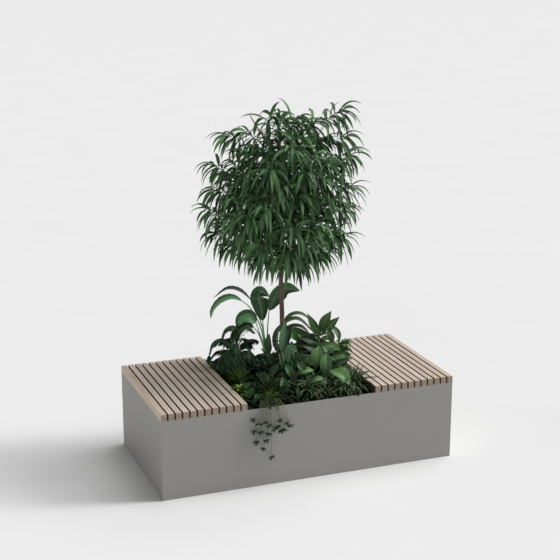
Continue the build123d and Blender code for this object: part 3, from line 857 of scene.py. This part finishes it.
def pinned_leaves(cluster, kind, spot, rows):
    """Leaves placed one by one: start, tip, the middle's bulge and width (in millimetres), faces and tone.
    """
    for start, tip, bulge, width, faces, tone in rows:
        start, tip = metres(start), metres(tip)
        middle = (start + tip) / 2 + np.array(faces) * bulge / 1000
        shaped_leaf(cluster, kind, spot, [start, middle, tip], width / 1000, faces, tone)


def paddle_leaves(cluster, spot, rows):
    """Leaves placed one by one, on stalks from the soil.

    A row has the stalk's foot (across) and its other points, the blade's points and its width, all in
    millimetres, then what the blade faces and its tone.
    """
    for foot, stalk, blade, width, faces, tone in rows:
        points = [at(spot, foot / 1000, 0.0, SOIL_TOP)]
        points += [at(spot, *point) for point in metres(stalk + blade[:1])]
        path = smooth_path(points, 14)
        add_stems(cluster, path[None], taper(0.0052, 0.0026, path[None]), [tone], 7)
        shaped_leaf(cluster, PADDLE, spot, metres(blade), width / 1000, faces, tone)


# rows for paddle_leaves
STRELITZIA_LEAVES = (
    # the dark arch to the left, seen nearly edge on
    (0, ((-20, 30, 600),), ((-88, 30, 775), (-150, 30, 822), (-218, 30, 832), (-292, 30, 785)),
     62, (0.0, 0.1, 1.0), 0.0),
    # the pale arch below it
    (0, ((-25, -10, 600), (-85, -20, 735)),
     ((-135, -30, 785), (-190, -40, 802), (-245, -50, 785), (-288, -50, 738), (-304, -50, 690)),
     60, (-0.25, -0.35, 0.9), 1.0),
    # the low dome on the left
    (0, ((-15, -30, 520), (-40, -50, 610)),
     ((-58, -50, 668), (-95, -60, 698), (-135, -70, 690), (-165, -80, 650)),
     82, (-0.25, -0.7, 0.65), 0.95),
    # the dark blade that hangs from beneath it to the fern
    (0, ((-12, -50, 500), (-40, -70, 600)),
     ((-70, -80, 652), (-112, -90, 662), (-154, -100, 632), (-178, -110, 575), (-184, -110, 500),
      (-176, -110, 452)),
     58, (-0.75, -0.55, 0.4), 0.0),
    # the upright blade in the middle, its tip folded to the right
    (0, ((-12, -20, 560),),
     ((-22, -30, 672), (-33, -30, 755), (-44, -35, 812), (-28, -60, 846), (16, -90, 826)),
     94, (0.05, -0.97, 0.25), 0.3),
    # the blade behind the trunk, arching right
    (0, ((4, 20, 600),), ((13, 30, 712), (46, 30, 795), (106, 20, 842), (182, 0, 834)),
     92, (0.45, -0.85, 0.15), 0.6),
    # young blades low in the middle
    (0, ((10, -50, 440),), ((16, -60, 500), (10, -70, 555), (14, -70, 612)), 44, (-0.3, -0.9, 0.3), 0.7),
    (0, ((50, -20, 440),), ((75, -30, 500), (110, -30, 570), (128, -30, 645)), 62, (-0.5, -0.8, 0.2), 0.0),
)
SUCKER_SPOT = (0.0, -0.075)
SUCKER_LEAVES = (
    (-30, ((-45, 0, 500),), ((-60, 0, 575), (-70, 0, 635), (-66, 0, 690), (-44, 0, 745)),
     50, (-0.75, -0.6, 0.2), 0.0),
    (-20, ((-30, -10, 500),), ((-42, -20, 590), (-40, -20, 650), (-34, -15, 710), (-24, -10, 762)),
     50, (0.25, -0.9, 0.3), 0.62),
    (20, ((0, -20, 450),), ((-10, -40, 540), (-6, -60, 595), (12, -80, 630), (36, -100, 615)),
     50, (0.1, -0.75, 0.65), 0.6),
)


def make_strelitzia():
    """The bird-of-paradise plant behind the trunk, and its sucker in front of it, with three leaves."""
    cluster = Cluster()
    paddle_leaves(cluster, middle_of("strelitzia"), STRELITZIA_LEAVES)
    paddle_leaves(cluster, SUCKER_SPOT, SUCKER_LEAVES)
    cluster.piece("strelitzia_leaves", "paddle_leaf", "strelitzia")


BROAD = Blade(stalk=0.05, stalk_half=0.0016, peak=0.38, base_power=0.6, tip_power=1.1, fold=22.0,
              thickness=0.0009, columns=7, steps=12, pleat=0.0006, pleats=6.0)
LONG = Blade(stalk=0.04, stalk_half=0.0016, peak=0.42, base_power=0.62, tip_power=0.8, fold=16.0,
             thickness=0.0008, columns=7, steps=14)


def rosette(cluster, rng, kind, crown, count, rise_from, rise_to, length, width, droop, spin, tone,
            spread=0.02, drop=0.05):
    """Leaves round a crown, the inner ones steep and young and the outer ones low and long."""
    number = np.arange(count)
    age = (number + 0.5) / count
    turns = spin + number * GOLDEN_ANGLE + rng.normal(0, 0.12, count)
    rises = np.radians(rise_from + (rise_to - rise_from) * age) + rng.normal(0, 0.08, count)
    ways = directions(turns, rises)
    starts = crown + ways * (1, 1, 0) * spread * age[:, None] - UP * (drop * age)[:, None]
    starts[:, 2] = np.maximum(starts[:, 2], SOIL_TOP + LEAF_CLEARANCE)
    lengths = length * (0.68 + 0.32 * age) * rng.uniform(0.85, 1.12, count)
    widths = width * (0.72 + 0.28 * age) * rng.uniform(0.88, 1.1, count)
    tones = np.clip(tone + 0.25 - 0.5 * age + rng.normal(0, 0.15, count), 0, 1)
    grow(cluster, kind, starts, ways, lengths, widths, droop * rng.uniform(0.7, 1.3, count),
         rng.normal(0, 0.25, count), tones)


def rosettes(cluster, rng, kind, spot, rows, rises, length, width, droop, spin):
    """Rosettes round crowns (across, away and height from the spot, in millimetres), count and tone."""
    for across, away, height, count, tone in rows:
        crown = at(spot, *metres((across, away, height)))
        rosette(cluster, rng, kind, crown, count, *rises, length, width, droop, crown[2] * spin, tone)


def upright_stem(cluster, spot, top):
    """A plain stem from the soil to a crown."""
    middle = (spot[0] + 0.006, spot[1] - 0.004, (SOIL_TOP + top[2]) / 2)
    path = smooth_path([(spot[0], spot[1], SOIL_TOP), middle, top], 8)
    radius = 0.006
    add_stems(cluster, path[None], taper(radius, radius * 0.6, path[None]), [0.3], 7)


# rows for pinned_leaves, and crowns for rosettes
REAR_LEAVES = (
    ((26, 0, 570), (-52, 0, 702), 10, 46, (-0.25, -0.88, 0.4), 0.85),
    ((22, 30, 590), (84, 50, 700), 8, 56, (-0.1, -0.8, 0.6), 0.6),
    ((30, 0, 575), (128, 0, 682), 6, 54, (-0.45, -0.85, 0.25), 0.4),
    ((70, -10, 640), (122, -30, 530), 24, 46, (0.75, -0.6, 0.3), 0.25),
    ((55, -20, 620), (88, -40, 535), 16, 46, (0.3, -0.9, 0.25), 0.5),
    ((15, -20, 562), (55, -80, 575), 4, 36, (0.0, -0.35, 0.95), 0.6),
    ((-85, -20, 555), (-156, -30, 636), 12, 62, (-0.1, -0.9, 0.4), 1.0),
    ((-60, -20, 560), (-122, -20, 630), 8, 46, (0.2, -0.9, 0.35), 0.6),
    ((14, -30, 535), (-95, -40, 574), 10, 52, (-0.1, -0.7, 0.7), 0.0),
    ((0, -30, 520), (-150, -50, 522), 18, 52, (-0.1, -0.6, 0.8), 0.0),
    ((-20, -40, 495), (-140, -70, 480), 16, 50, (-0.2, -0.6, 0.75), 0.05),
    ((20, -50, 500), (-80, -80, 540), 10, 46, (-0.1, -0.75, 0.6), 0.1),
    ((-12, -50, 516), (120, -60, 530), 14, 50, (0.05, -0.6, 0.8), 0.95),
    ((40, -50, 530), (150, -60, 500), 18, 52, (0.1, -0.6, 0.8), 0.95),
    ((80, -50, 490), (172, -70, 462), 16, 46, (0.2, -0.6, 0.75), 0.8),
)
REAR_CROWNS = ((10, 70, 560, 12, 0.3), (10, 40, 510, 14, 0.2), (10, 20, 470, 14, 0.1), (10, 0, 430, 12, 0.0))
REAR_SIDE_CROWNS = ((-90, 20, 520, 15, 0.1), (-130, -20, 490, 15, 0.0), (-120, 0, 450, 15, 0.2))
# rows for shaped_leaves
STRIPED_LEAVES = (
    (((-205, 30, 585), (-165, 20, 648), (-95, 10, 664), (-12, -10, 592)), 30, (0.1, -0.5, 0.85), 0.45),
    (((-200, 40, 590), (-150, 40, 672), (-85, 30, 690), (-20, 20, 645)), 28, (0.1, -0.5, 0.85), 0.6),
    (((-200, 10, 560), (-150, 0, 622), (-85, -10, 628), (-30, -20, 580)), 28, (0.0, -0.5, 0.85), 0.15),
    (((-170, 20, 560), (-110, 0, 600), (-60, -20, 590), (-20, -30, 555)), 26, (0.0, -0.5, 0.85), 0.05),
)
STRIPED_CROWNS = ((-165, 20, 520, 15, 0.12), (-185, -60, 480, 15, 0.12), (-120, -100, 470, 15, 0.12))


def frothy_shoots(cluster, rng, spot):
    """A frothy bright plant against the seat, on the right: rows of small rosettes along low ribs."""
    for height, tip_height in ((0.47, 0.555), (0.46, 0.51), (0.45, 0.475), (0.44, 0.46)):
        bend = at(spot, 0.135, -0.04, (height + tip_height) / 2 + 0.015)
        points = (at(spot, 0.1, -0.03, height), bend, at(spot, 0.168, -0.05, tip_height))
        for joint in smooth_path(points, 10)[2:]:
            spin = joint[2] * 90
            rosette(cluster, rng, BROAD, joint, 9, 70, -20, 0.034, 0.017, 0.8, spin, 1.4, 0.003, 0.0)


def make_broadleaf_rear():
    """The broad-leaved plant at the right and the rear, and the striped leaves to its left."""
    rng = np.random.default_rng(23)
    spot = middle_of("broadleaf_plant_rear")
    cluster = Cluster()
    upright_stem(cluster, spot, at(spot, 0.02, 0.0, 0.58))
    pinned_leaves(cluster, BROAD, spot, REAR_LEAVES)
    rosettes(cluster, rng, BROAD, spot, REAR_CROWNS, (60, -10), 0.115, 0.046, 1.0, 40)
    rosettes(cluster, rng, BROAD, spot, REAR_SIDE_CROWNS, (65, -10), 0.115, 0.042, 1.1, 70)
    frothy_shoots(cluster, rng, spot)
    cluster.piece("broadleaf_rear_leaves", "broad_leaf", "broadleaf_plant_rear")
    striped = Cluster()
    shaped_leaves(striped, LONG, spot, STRIPED_LEAVES)
    rosettes(striped, rng, LONG, spot, STRIPED_CROWNS, (72, 0), 0.115, 0.02, 1.3, 60)
    striped.piece("striped_leaves", "grass_leaf")


# rows for pinned_leaves
FRONT_LEAVES = (
    ((-30, -20, 600), (-53, -60, 482), 20, 66, (-0.1, -0.9, 0.4), 0.85),
    ((8, -50, 572), (-7, -90, 436), 22, 66, (0.1, -0.92, 0.35), 0.55),
    ((22, -150, 510), (137, -215, 440), 28, 64, (0.25, -0.65, 0.72), 1.0),
    ((30, -50, 482), (130, -60, 545), 8, 54, (0.15, -0.9, 0.4), 0.3),
    ((70, -50, 515), (140, -80, 462), 14, 50, (0.25, -0.8, 0.55), 0.6),
    ((-62, -120, 500), (-162, -140, 474), 16, 42, (-0.05, -0.6, 0.8), 1.0),
    ((-4, -160, 468), (-92, -190, 446), 10, 38, (0.0, -0.5, 0.87), 0.75),
    ((-30, -50, 520), (-125, -70, 512), 12, 50, (-0.1, -0.6, 0.8), 0.2),
    ((4, -150, 470), (-10, -225, 392), 16, 60, (0.1, -0.88, 0.4), 0.0),
    ((-40, -140, 450), (-60, -215, 398), 12, 46, (-0.1, -0.85, 0.45), 0.0),
    ((60, -120, 450), (70, -180, 402), 12, 44, (0.1, -0.8, 0.55), 0.05),
    ((-70, -40, 560), (-130, -70, 490), 14, 50, (-0.3, -0.8, 0.45), 0.35),
)
FRONT_CROWNS = (
    (10, 30, 535, 12, 0.25), (10, 10, 490, 15, 0.2), (10, -20, 450, 15, 0.1), (10, -50, 420, 12, 0.0),
)


def make_broadleaf_front():
    """The broad-leaved plant in front of it, its pointed leaves hanging towards the front wall."""
    rng = np.random.default_rng(29)
    spot = middle_of("broadleaf_plant_front")
    cluster = Cluster()
    upright_stem(cluster, spot, at(spot, 0.0, 0.0, 0.54))
    pinned_leaves(cluster, BROAD, spot, FRONT_LEAVES)
    rosettes(cluster, rng, BROAD, spot, FRONT_CROWNS, (55, -10), 0.112, 0.046, 1.0, 50)
    left, right = at(spot, -0.1, 0.0, 0.46), at(spot, 0.09, 0.0, 0.46)
    rosette(cluster, rng, BROAD, left, 14, 60, -10, 0.105, 0.04, 1.1, 0.3, 0.1)
    rosette(cluster, rng, BROAD, right, 12, 55, -10, 0.09, 0.04, 1.0, 0.9, 0.4)
    cluster.piece("broadleaf_front_leaves", "broad_leaf", "broadleaf_plant_front")


LEAFLET = Blade(stalk=0.0, stalk_half=0.0005, peak=0.34, base_power=0.5, tip_power=0.8, fold=12.0,
                thickness=0.0005, steps=6)

LEAFLET_DENSITY = 1.45
LEAFLET_WIDTH = 0.0105


def frond(cluster, rng, points, leaflet, pairs, tone):
    """One feathered frond: a rib through its points, with leaflets down both sides."""
    steps = 24
    rib = smooth_path(points, steps)
    add_stems(cluster, rib[None], taper(0.0026, 0.0008, rib[None]), [tone], 5)
    tangents = unit(np.gradient(rib, axis=0))
    level = unit(np.cross(rib[-1] - rib[0], UP))
    pairs = int(pairs * LEAFLET_DENSITY)
    shares = np.linspace(0.3, 0.99, pairs)
    index = np.clip((shares * steps).astype(int), 0, steps)
    size = leaflet * (0.35 + 0.65 * np.sin(math.pi * np.clip(shares * 0.8 + 0.1, 0, 1)))
    for side in (-1, 1):
        ways = side * level * 0.75 + tangents[index] * 0.85 - UP * 0.25
        ways = unit(ways + rng.normal(0, 0.05, (pairs, 3)))
        lengths = size * rng.uniform(0.9, 1.1, pairs)
        rolls = rng.normal(side * 0.25, 0.15, pairs)
        tones = np.clip(rng.normal(tone, 0.15, pairs), 0, 1)
        widths, droops = np.full(pairs, LEAFLET_WIDTH), np.full(pairs, 0.9)
        grow(cluster, LEAFLET, rib[index], ways, lengths, widths, droops, rolls, tones)


FERN_CROWN = (10, 0, 480)
# the rib's points after the crown and the leaflets' length, in millimetres, then pairs of leaflets and tone
FRONDS = (
    (((30, 20, 600), (18, 20, 655), (-30, 20, 648), (-60, 20, 588)), 50, 22, 0.45),
    (((-4, 0, 560), (-44, 0, 590), (-96, 0, 576), (-120, 0, 522)), 40, 24, 0.4),
    (((-30, 0, 525), (-80, 0, 536), (-124, 0, 485)), 44, 18, 0.15),
    (((48, 0, 570), (98, 0, 590), (140, 0, 596)), 40, 20, 0.2),
    (((40, 20, 610), (80, 20, 658), (123, 20, 640)), 36, 18, 0.7),
    (((-12, -40, 552), (-40, -80, 538), (-62, -110, 462)), 62, 16, 0.3),
    (((30, -50, 552), (52, -90, 528), (70, -120, 455)), 62, 16, 0.25),
    (((12, -50, 545), (4, -100, 530), (-6, -140, 450)), 62, 16, 0.45),
    (((-40, -20, 510), (-80, -40, 505), (-106, -50, 470)), 46, 13, 0.1),
    (((55, -20, 540), (95, -40, 545), (130, -60, 500)), 56, 15, 0.1),
    (((0, 60, 580), (-20, 100, 575), (-40, 130, 520)), 56, 14, 0.2),
    (((50, 60, 580), (80, 100, 570), (110, 120, 520)), 56, 14, 0.2),
)
# rows for shaped_leaves
FERN_LEAVES = (
    (((24, 20, 560), (20, 20, 655), (-28, 20, 650), (-60, 20, 585)), 30, (-0.3, -0.5, 0.8), 0.6),
    (((15, 0, 540), (-42, 0, 594), (-96, 0, 578), (-121, 0, 518)), 30, (-0.3, -0.5, 0.8), 0.5),
    (((30, 20, 570), (45, 20, 640), (90, 20, 662), (124, 20, 636)), 26, (0.2, -0.5, 0.8), 0.7),
    (((45, 0, 548), (96, 0, 586), (142, 0, 600)), 34, (0.0, -0.8, 0.6), 0.1),
    (((35, -20, 545), (78, -20, 568), (108, -20, 535)), 28, (0.2, -0.6, 0.8), 0.2),
    (((18, -30, 590), (22, -50, 547), (20, -60, 496)), 36, (-0.1, -0.95, 0.3), 0.85),
    (((-4, -50, 505), (-50, -60, 490), (-90, -70, 440)), 36, (-0.2, -0.7, 0.7), 0.75),
)


def make_fern():
    """The dark feathery plant on the left: some fronds and leaves placed one by one, more round its crown.
    """
    rng = np.random.default_rng(31)
    spot = middle_of("fern")
    cluster = Cluster()
    for points, leaflet, pairs, tone in FRONDS:
        rib = [at(spot, *point) for point in metres((FERN_CROWN,) + points)]
        frond(cluster, rng, rib, leaflet / 1000, pairs, tone)
    low = at(spot, 0.01, 0.0, 0.44)
    for number in range(14):
        out = directions(number * GOLDEN_ANGLE, 0.0)
        reach = rng.uniform(0.09, 0.13)
        rib = [low, low + out * reach * 0.5 + UP * 0.055, low + out * reach + UP * 0.012]
        frond(cluster, rng, rib, 0.056, 13, 0.1)
    shaped_leaves(cluster, LONG, spot, FERN_LEAVES)
    tuft(cluster, rng, at(spot, 0.018, -0.03, 0.545), 70, 0.115, 0.0075, 75, -30, 0.6, 0.0, 0.45)
    tuft(cluster, rng, at(spot, 0.01, -0.05, 0.5), 60, 0.125, 0.009, 65, -20, 0.9, 2.0, 0.35)
    cluster.piece("fern_fronds", "fern_leaf", "fern")


STRAP = Blade(stalk=0.0, stalk_half=0.0006, peak=0.3, base_power=0.3, tip_power=0.6, fold=22.0,
              thickness=0.0005, steps=8)


def tuft(cluster, rng, crown, count, length, width, rise_from, rise_to, droop, spin, tone):
    """A tuft of narrow strap leaves."""
    rosette(cluster, rng, STRAP, crown, count, rise_from, rise_to, length, width, droop, spin, tone,
            spread=0.012, drop=0.01)


# x, y, height, number of leaves, length, width, droop and tone, in millimetres where they are lengths
TUFTS = (
    (-20, -180, 430, 56, 150, 11, 1.9, 0.25),
    (30, -255, 425, 56, 140, 11, 2.0, 0.5),
    (105, -315, 415, 36, 105, 10, 2.1, 0.15),
    (292, -258, 430, 76, 158, 10.5, 1.6, 0.4),
    (215, -310, 420, 46, 125, 10.5, 2.0, 0.6),
    (300, -180, 425, 36, 140, 10.5, 1.5, 0.1),
)
LEFT_TUFTS = ((-272, 10, 430, 80, 128, 8, 1.4, 0.15), (-268, -50, 425, 60, 128, 8, 1.4, 0.3))


def add_tufts(cluster, rng, rows, rise_from, rise_to):
    """Tufts at the places in the rows."""
    for number, (x, y, height, count, length, width, droop, tone) in enumerate(rows):
        crown, length, width = metres((x, y, height)), length / 1000, width / 1000
        tuft(cluster, rng, crown, count, length, width, rise_from, rise_to, droop, number, tone)


def make_tufts():
    """Grass-like tufts at the front and the right of the bed, and a brighter one at the left."""
    rng = np.random.default_rng(41)
    cluster = Cluster()
    add_tufts(cluster, rng, TUFTS, 88, 5)
    cluster.piece("grass_leaves", "grass_leaf", "grass_tufts")
    left = Cluster()
    add_tufts(left, rng, LEFT_TUFTS, 86, 4)
    left.piece("left_tuft", "spider_leaf")


def make_spider_plant():
    """The yellow-green plant at the front wall."""
    rng = np.random.default_rng(43)
    spot = middle_of("spider_plant")
    cluster = Cluster()
    tuft(cluster, rng, at(spot, -0.01, 0.04, 0.435), 80, 0.16, 0.0085, 88, 20, 1.2, 0.0, -0.15)
    tuft(cluster, rng, at(spot, 0.0, -0.02, 0.425), 50, 0.1, 0.008, 80, 20, 1.7, 1.0, 0.4)
    cluster.piece("spider_leaves", "spider_leaf", "spider_plant")


OVATE = Blade(stalk=0.1, stalk_half=0.0009, peak=0.42, base_power=0.65, tip_power=0.75, fold=22.0,
              thickness=0.0006, columns=5, steps=8)

# x, y and height in millimetres, and tone
TRUNK_SIDE_CROWNS = (
    (0, -115, 475, 0.45), (-55, -85, 455, 0.25), (65, -60, 480, 0.4), (-100, 10, 470, 0.3),
    (20, -80, 520, 0.55),
)
# long dark tufts in the middle: x, y, number of leaves and length
LONG_TUFTS = [(x, y, 425, count, length, 12.5, 1.3, 0.0) for x, y, count, length in (
    (10, -55, 50, 185), (-115, 30, 40, 160), (70, -120, 45, 150), (-60, -80, 45, 160),
    (-50, 100, 40, 180), (90, 40, 40, 170), (-15, -115, 46, 150), (45, -90, 40, 165),
)]
# rows for pinned_leaves: single leaves between the larger plants
BLUE_LEAVES = (
    # hanging by the fern
    ((-222, -30, 500), (-228, -60, 425), 10, 40, (-0.2, -0.8, 0.55), 0.55),
    ((-262, -10, 510), (-300, -30, 465), 10, 30, (-0.4, -0.7, 0.55), 0.15),
    # light tip under the dark hanging blade
    ((-258, 20, 590), (-256, 10, 520), 8, 34, (0.1, -0.9, 0.35), 0.9),
    # left of the spider plant, by the wall
    ((-160, -300, 470), (-185, -345, 425), 8, 36, (-0.2, -0.6, 0.75), 0.7),
    ((-130, -320, 450), (-150, -375, 418), 8, 36, (-0.1, -0.7, 0.7), 0.8),
    ((-175, -270, 480), (-230, -290, 450), 8, 34, (-0.3, -0.6, 0.7), 0.45),
    # behind it
    ((-110, -80, 480), (-130, -130, 440), 8, 34, (-0.2, -0.7, 0.65), 0.5),
    ((-90, -110, 470), (-110, -160, 430), 8, 30, (-0.1, -0.8, 0.6), 0.6),
    # round the trunk's foot
    ((-30, -120, 530), (-80, -150, 475), 12, 40, (-0.2, -0.8, 0.5), 0.35),
    ((0, -125, 540), (40, -165, 470), 14, 42, (0.15, -0.85, 0.5), 0.8),
    ((-10, -130, 500), (-20, -180, 440), 10, 42, (0.0, -0.9, 0.4), 0.15),
    ((60, -100, 550), (105, -130, 490), 12, 44, (0.2, -0.85, 0.45), 0.6),
    # right of it
    ((-12, -220, 500), (-4, -275, 415), 12, 46, (0.15, -0.9, 0.35), 0.6),
    ((-30, -200, 490), (-60, -255, 430), 10, 38, (-0.2, -0.8, 0.5), 0.25),
)


def cover_bed(cluster, rng):
    """Rows of rosettes over the soil, low by the walls and taller round the trunk."""
    columns, rows, inset = 8, 9, 0.045
    low, size = SOIL_LOW[:2] + inset, SOIL_HIGH[:2] - SOIL_LOW[:2] - 2 * inset
    for row in range(rows):
        for column in range(columns):
            share = np.array(((column + 0.5 * (row % 2)) / (columns - 0.5), row / (rows - 1)))
            x, y = low + size * share + rng.normal(0, 0.012, 2)
            middle = math.exp(-((x / 0.2) ** 2) - ((y - 0.02) / 0.17) ** 2)
            crown = np.array((x, y, SOIL_TOP + 0.03 + 0.08 * middle + rng.uniform(0.0, 0.03)))
            long = rng.uniform(0.065, 0.095)
            wide = long * rng.uniform(0.24, 0.4)
            spin = rng.uniform(0, 6)
            rosette(cluster, rng, OVATE, crown, 13, 75, -15, long, wide, 1.3, spin, 0.05, spread=0.01)


def make_ground_cover():
    """Dark leaves that close the bed between the larger plants, a pale rosette and some single leaves."""
    rng = np.random.default_rng(53)
    cluster = Cluster()
    cover_bed(cluster, rng)
    for x, y, height, tone in TRUNK_SIDE_CROWNS:
        crown = metres((x, y, height))
        rosette(cluster, rng, OVATE, crown, 17, 80, -5, 0.115, 0.03, 1.1, crown[2] * 90, tone, 0.01, 0.04)
    add_tufts(cluster, rng, LONG_TUFTS, 84, 15)
    cluster.piece("ground_cover", "fern_leaf")
    pale = Cluster()
    rosette(pale, rng, OVATE, metres((-318, -180, 450)), 20, 75, 5, 0.06, 0.021, 1.3, 0.0, 1.0, 0.01, 0.02)
    pale.piece("pale_rosette", "spider_leaf")
    blue = Cluster()
    pinned_leaves(blue, OVATE, ORIGIN, BLUE_LEAVES)
    blue.piece("blue_leaves", "fern_leaf")


PLANTLET = Blade(stalk=0.0, stalk_half=0.0005, peak=0.35, base_power=0.4, tip_power=0.7, fold=20.0,
                 thickness=0.0005, steps=5)
# x, and how far the plantlet hangs below the wall's top, in millimetres
RUNNERS = (
    (-330, 47), (-310, 168), (-300, 78), (-278, 212), (-266, 74), (-250, 136), (-232, 263), (-214, 112),
    (-198, 100), (-178, 124), (-150, 92), (-130, 108), (-322, 112), (-290, 122), (-258, 170), (-240, 90),
    (-186, 70), (-164, 128),
)


def make_runners():
    """Thin stems over the front wall, each ending in a small star of leaves."""
    rng = np.random.default_rng(47)
    crown = at(middle_of("spider_plant"), 0, 0, WALL_TOP + 0.02)
    stand_off = FRONT_FACE - 0.016
    middle_x, gather = -0.225, 0.62
    steps, count = 26, 11
    stems, leaves = Cluster(), Cluster()
    for x, drop in metres(RUNNERS):
        over = middle_x + (x - middle_x) * gather
        points = (
            crown,
            (over + 0.3 * (crown[0] - over), FRONT_FACE + 0.045, WALL_TOP + 0.028),
            (over, FRONT_FACE - LEAF_CLEARANCE, WALL_TOP + 0.01),
            (over + (x - over) * 0.3, stand_off, WALL_TOP - 0.3 * drop),
            (x, stand_off, WALL_TOP - drop),
        )
        path = smooth_path(points, steps)
        add_stems(stems, path[None], np.full((1, steps + 1), 0.0009), [rng.random()], 5)
        turns = rng.uniform(0, 6) + np.arange(count) * GOLDEN_ANGLE
        ways = directions(turns, rng.uniform(-0.5, 0.9, count))
        ways[:, 1] = -np.abs(ways[:, 1]) * 0.7
        starts = np.repeat(path[-1:], count, axis=0)
        lengths, widths = rng.uniform(0.018, 0.03, count), rng.uniform(0.005, 0.0075, count)
        droops, rolls = rng.uniform(0.6, 1.4, count), rng.normal(0, 0.3, count)
        grow(leaves, PLANTLET, starts, ways, lengths, widths, droops, rolls, 0.35 * rng.random(count))
    stems.piece("runner_stems", "runner_stem", "trailing_runners")
    leaves.piece("runner_plantlets", "fern_leaf")


# ---- camera, floor and light ---------------------------------------------------------------------------
CAMERA_PLACE = Vector((-2.37206, -6.15848, 2.79234))
CAMERA_TILT = math.radians(15.52)
CAMERA_LENS = 83.79
SENSOR = 36.0


def make_camera():
    """The camera, at the front left and a little above."""
    data = bpy.data.cameras.new("camera")
    data.lens = CAMERA_LENS
    data.sensor_width = SENSOR
    camera = bpy.data.objects.new("camera", data)
    bpy.context.scene.collection.objects.link(camera)
    camera.location = CAMERA_PLACE
    camera.rotation_euler = (math.pi / 2 - CAMERA_TILT, 0.0, -VIEW_TURN)
    bpy.context.scene.camera = camera


def make_floor():
    """A wide pale floor."""
    size = 120.0
    mesh = bpy.data.meshes.new("floor")
    corner_points = [(-size, -size, 0), (size, -size, 0), (size, size, 0), (-size, size, 0)]
    mesh.from_pydata(corner_points, [], [(0, 1, 2, 3)])
    surface = Surface("floor", roughness=0.9, specular=0.1)
    place = surface.place()
    base = surface.stained(place, 1.5, 2.0, (0.3, colour(234, 234, 234)), (0.7, colour(236, 236, 236)))
    mesh.materials.append(surface.finish(base))
    floor = bpy.data.objects.new("floor", mesh)
    bpy.context.scene.collection.objects.link(floor)


SKY = 0.1
# each soft light: turn from the right towards the back, height and spread in degrees, and its share of the
# light on the floor
LIGHTS = (
    ("key_low", 6.0, 20.0, 14.0, 0.088),
    ("key_middle", 8.0, 34.0, 16.0, 0.17),
    ("key_high", 14.0, 50.0, 22.0, 0.18),
    ("top", 35.0, 68.0, 42.0, 0.4),
    ("side", 185.0, 8.0, 30.0, 0.028),
    ("front", 262.0, 20.0, 60.0, 0.052),
)


def view_ways(turns, rises):
    """Directions by degrees: turn 0 is to the right, 90 away and 270 towards the viewer; rise is upwards."""
    turns, rises = np.radians(turns)[..., None], np.radians(rises)[..., None]
    flat = ACROSS * np.cos(turns) + AWAY * np.sin(turns)
    return flat * np.cos(rises) + UP * np.sin(rises)


def make_light():
    """Even light from all round and large soft lights, the strongest from high on the right."""
    scene = bpy.context.scene
    scene.view_settings.view_transform = "Standard"
    scene.world = bpy.data.worlds.new("studio")
    scene.world.use_nodes = True
    background = scene.world.node_tree.nodes["Background"]
    background.inputs["Color"].default_value = (1.0, 1.0, 1.0, 1.0)
    background.inputs["Strength"].default_value = SKY
    for name, turn, height, spread, share in LIGHTS:
        towards = Vector(view_ways(turn, height))
        data = bpy.data.lights.new(name, "SUN")
        data.energy = share * math.pi / towards.z
        data.angle = math.radians(spread)
        light = bpy.data.objects.new(name, data)
        scene.collection.objects.link(light)
        light.rotation_mode = "QUATERNION"
        light.rotation_quaternion = towards.to_track_quat("Z", "Y")


make_camera()
make_floor()
make_light()
make_materials()
dress_cad_nodes()
make_soil()
make_trunk()
make_tree_crown()
make_strelitzia()
make_broadleaf_rear()
make_broadleaf_front()
make_fern()
make_tufts()
make_spider_plant()
make_ground_cover()
make_runners()
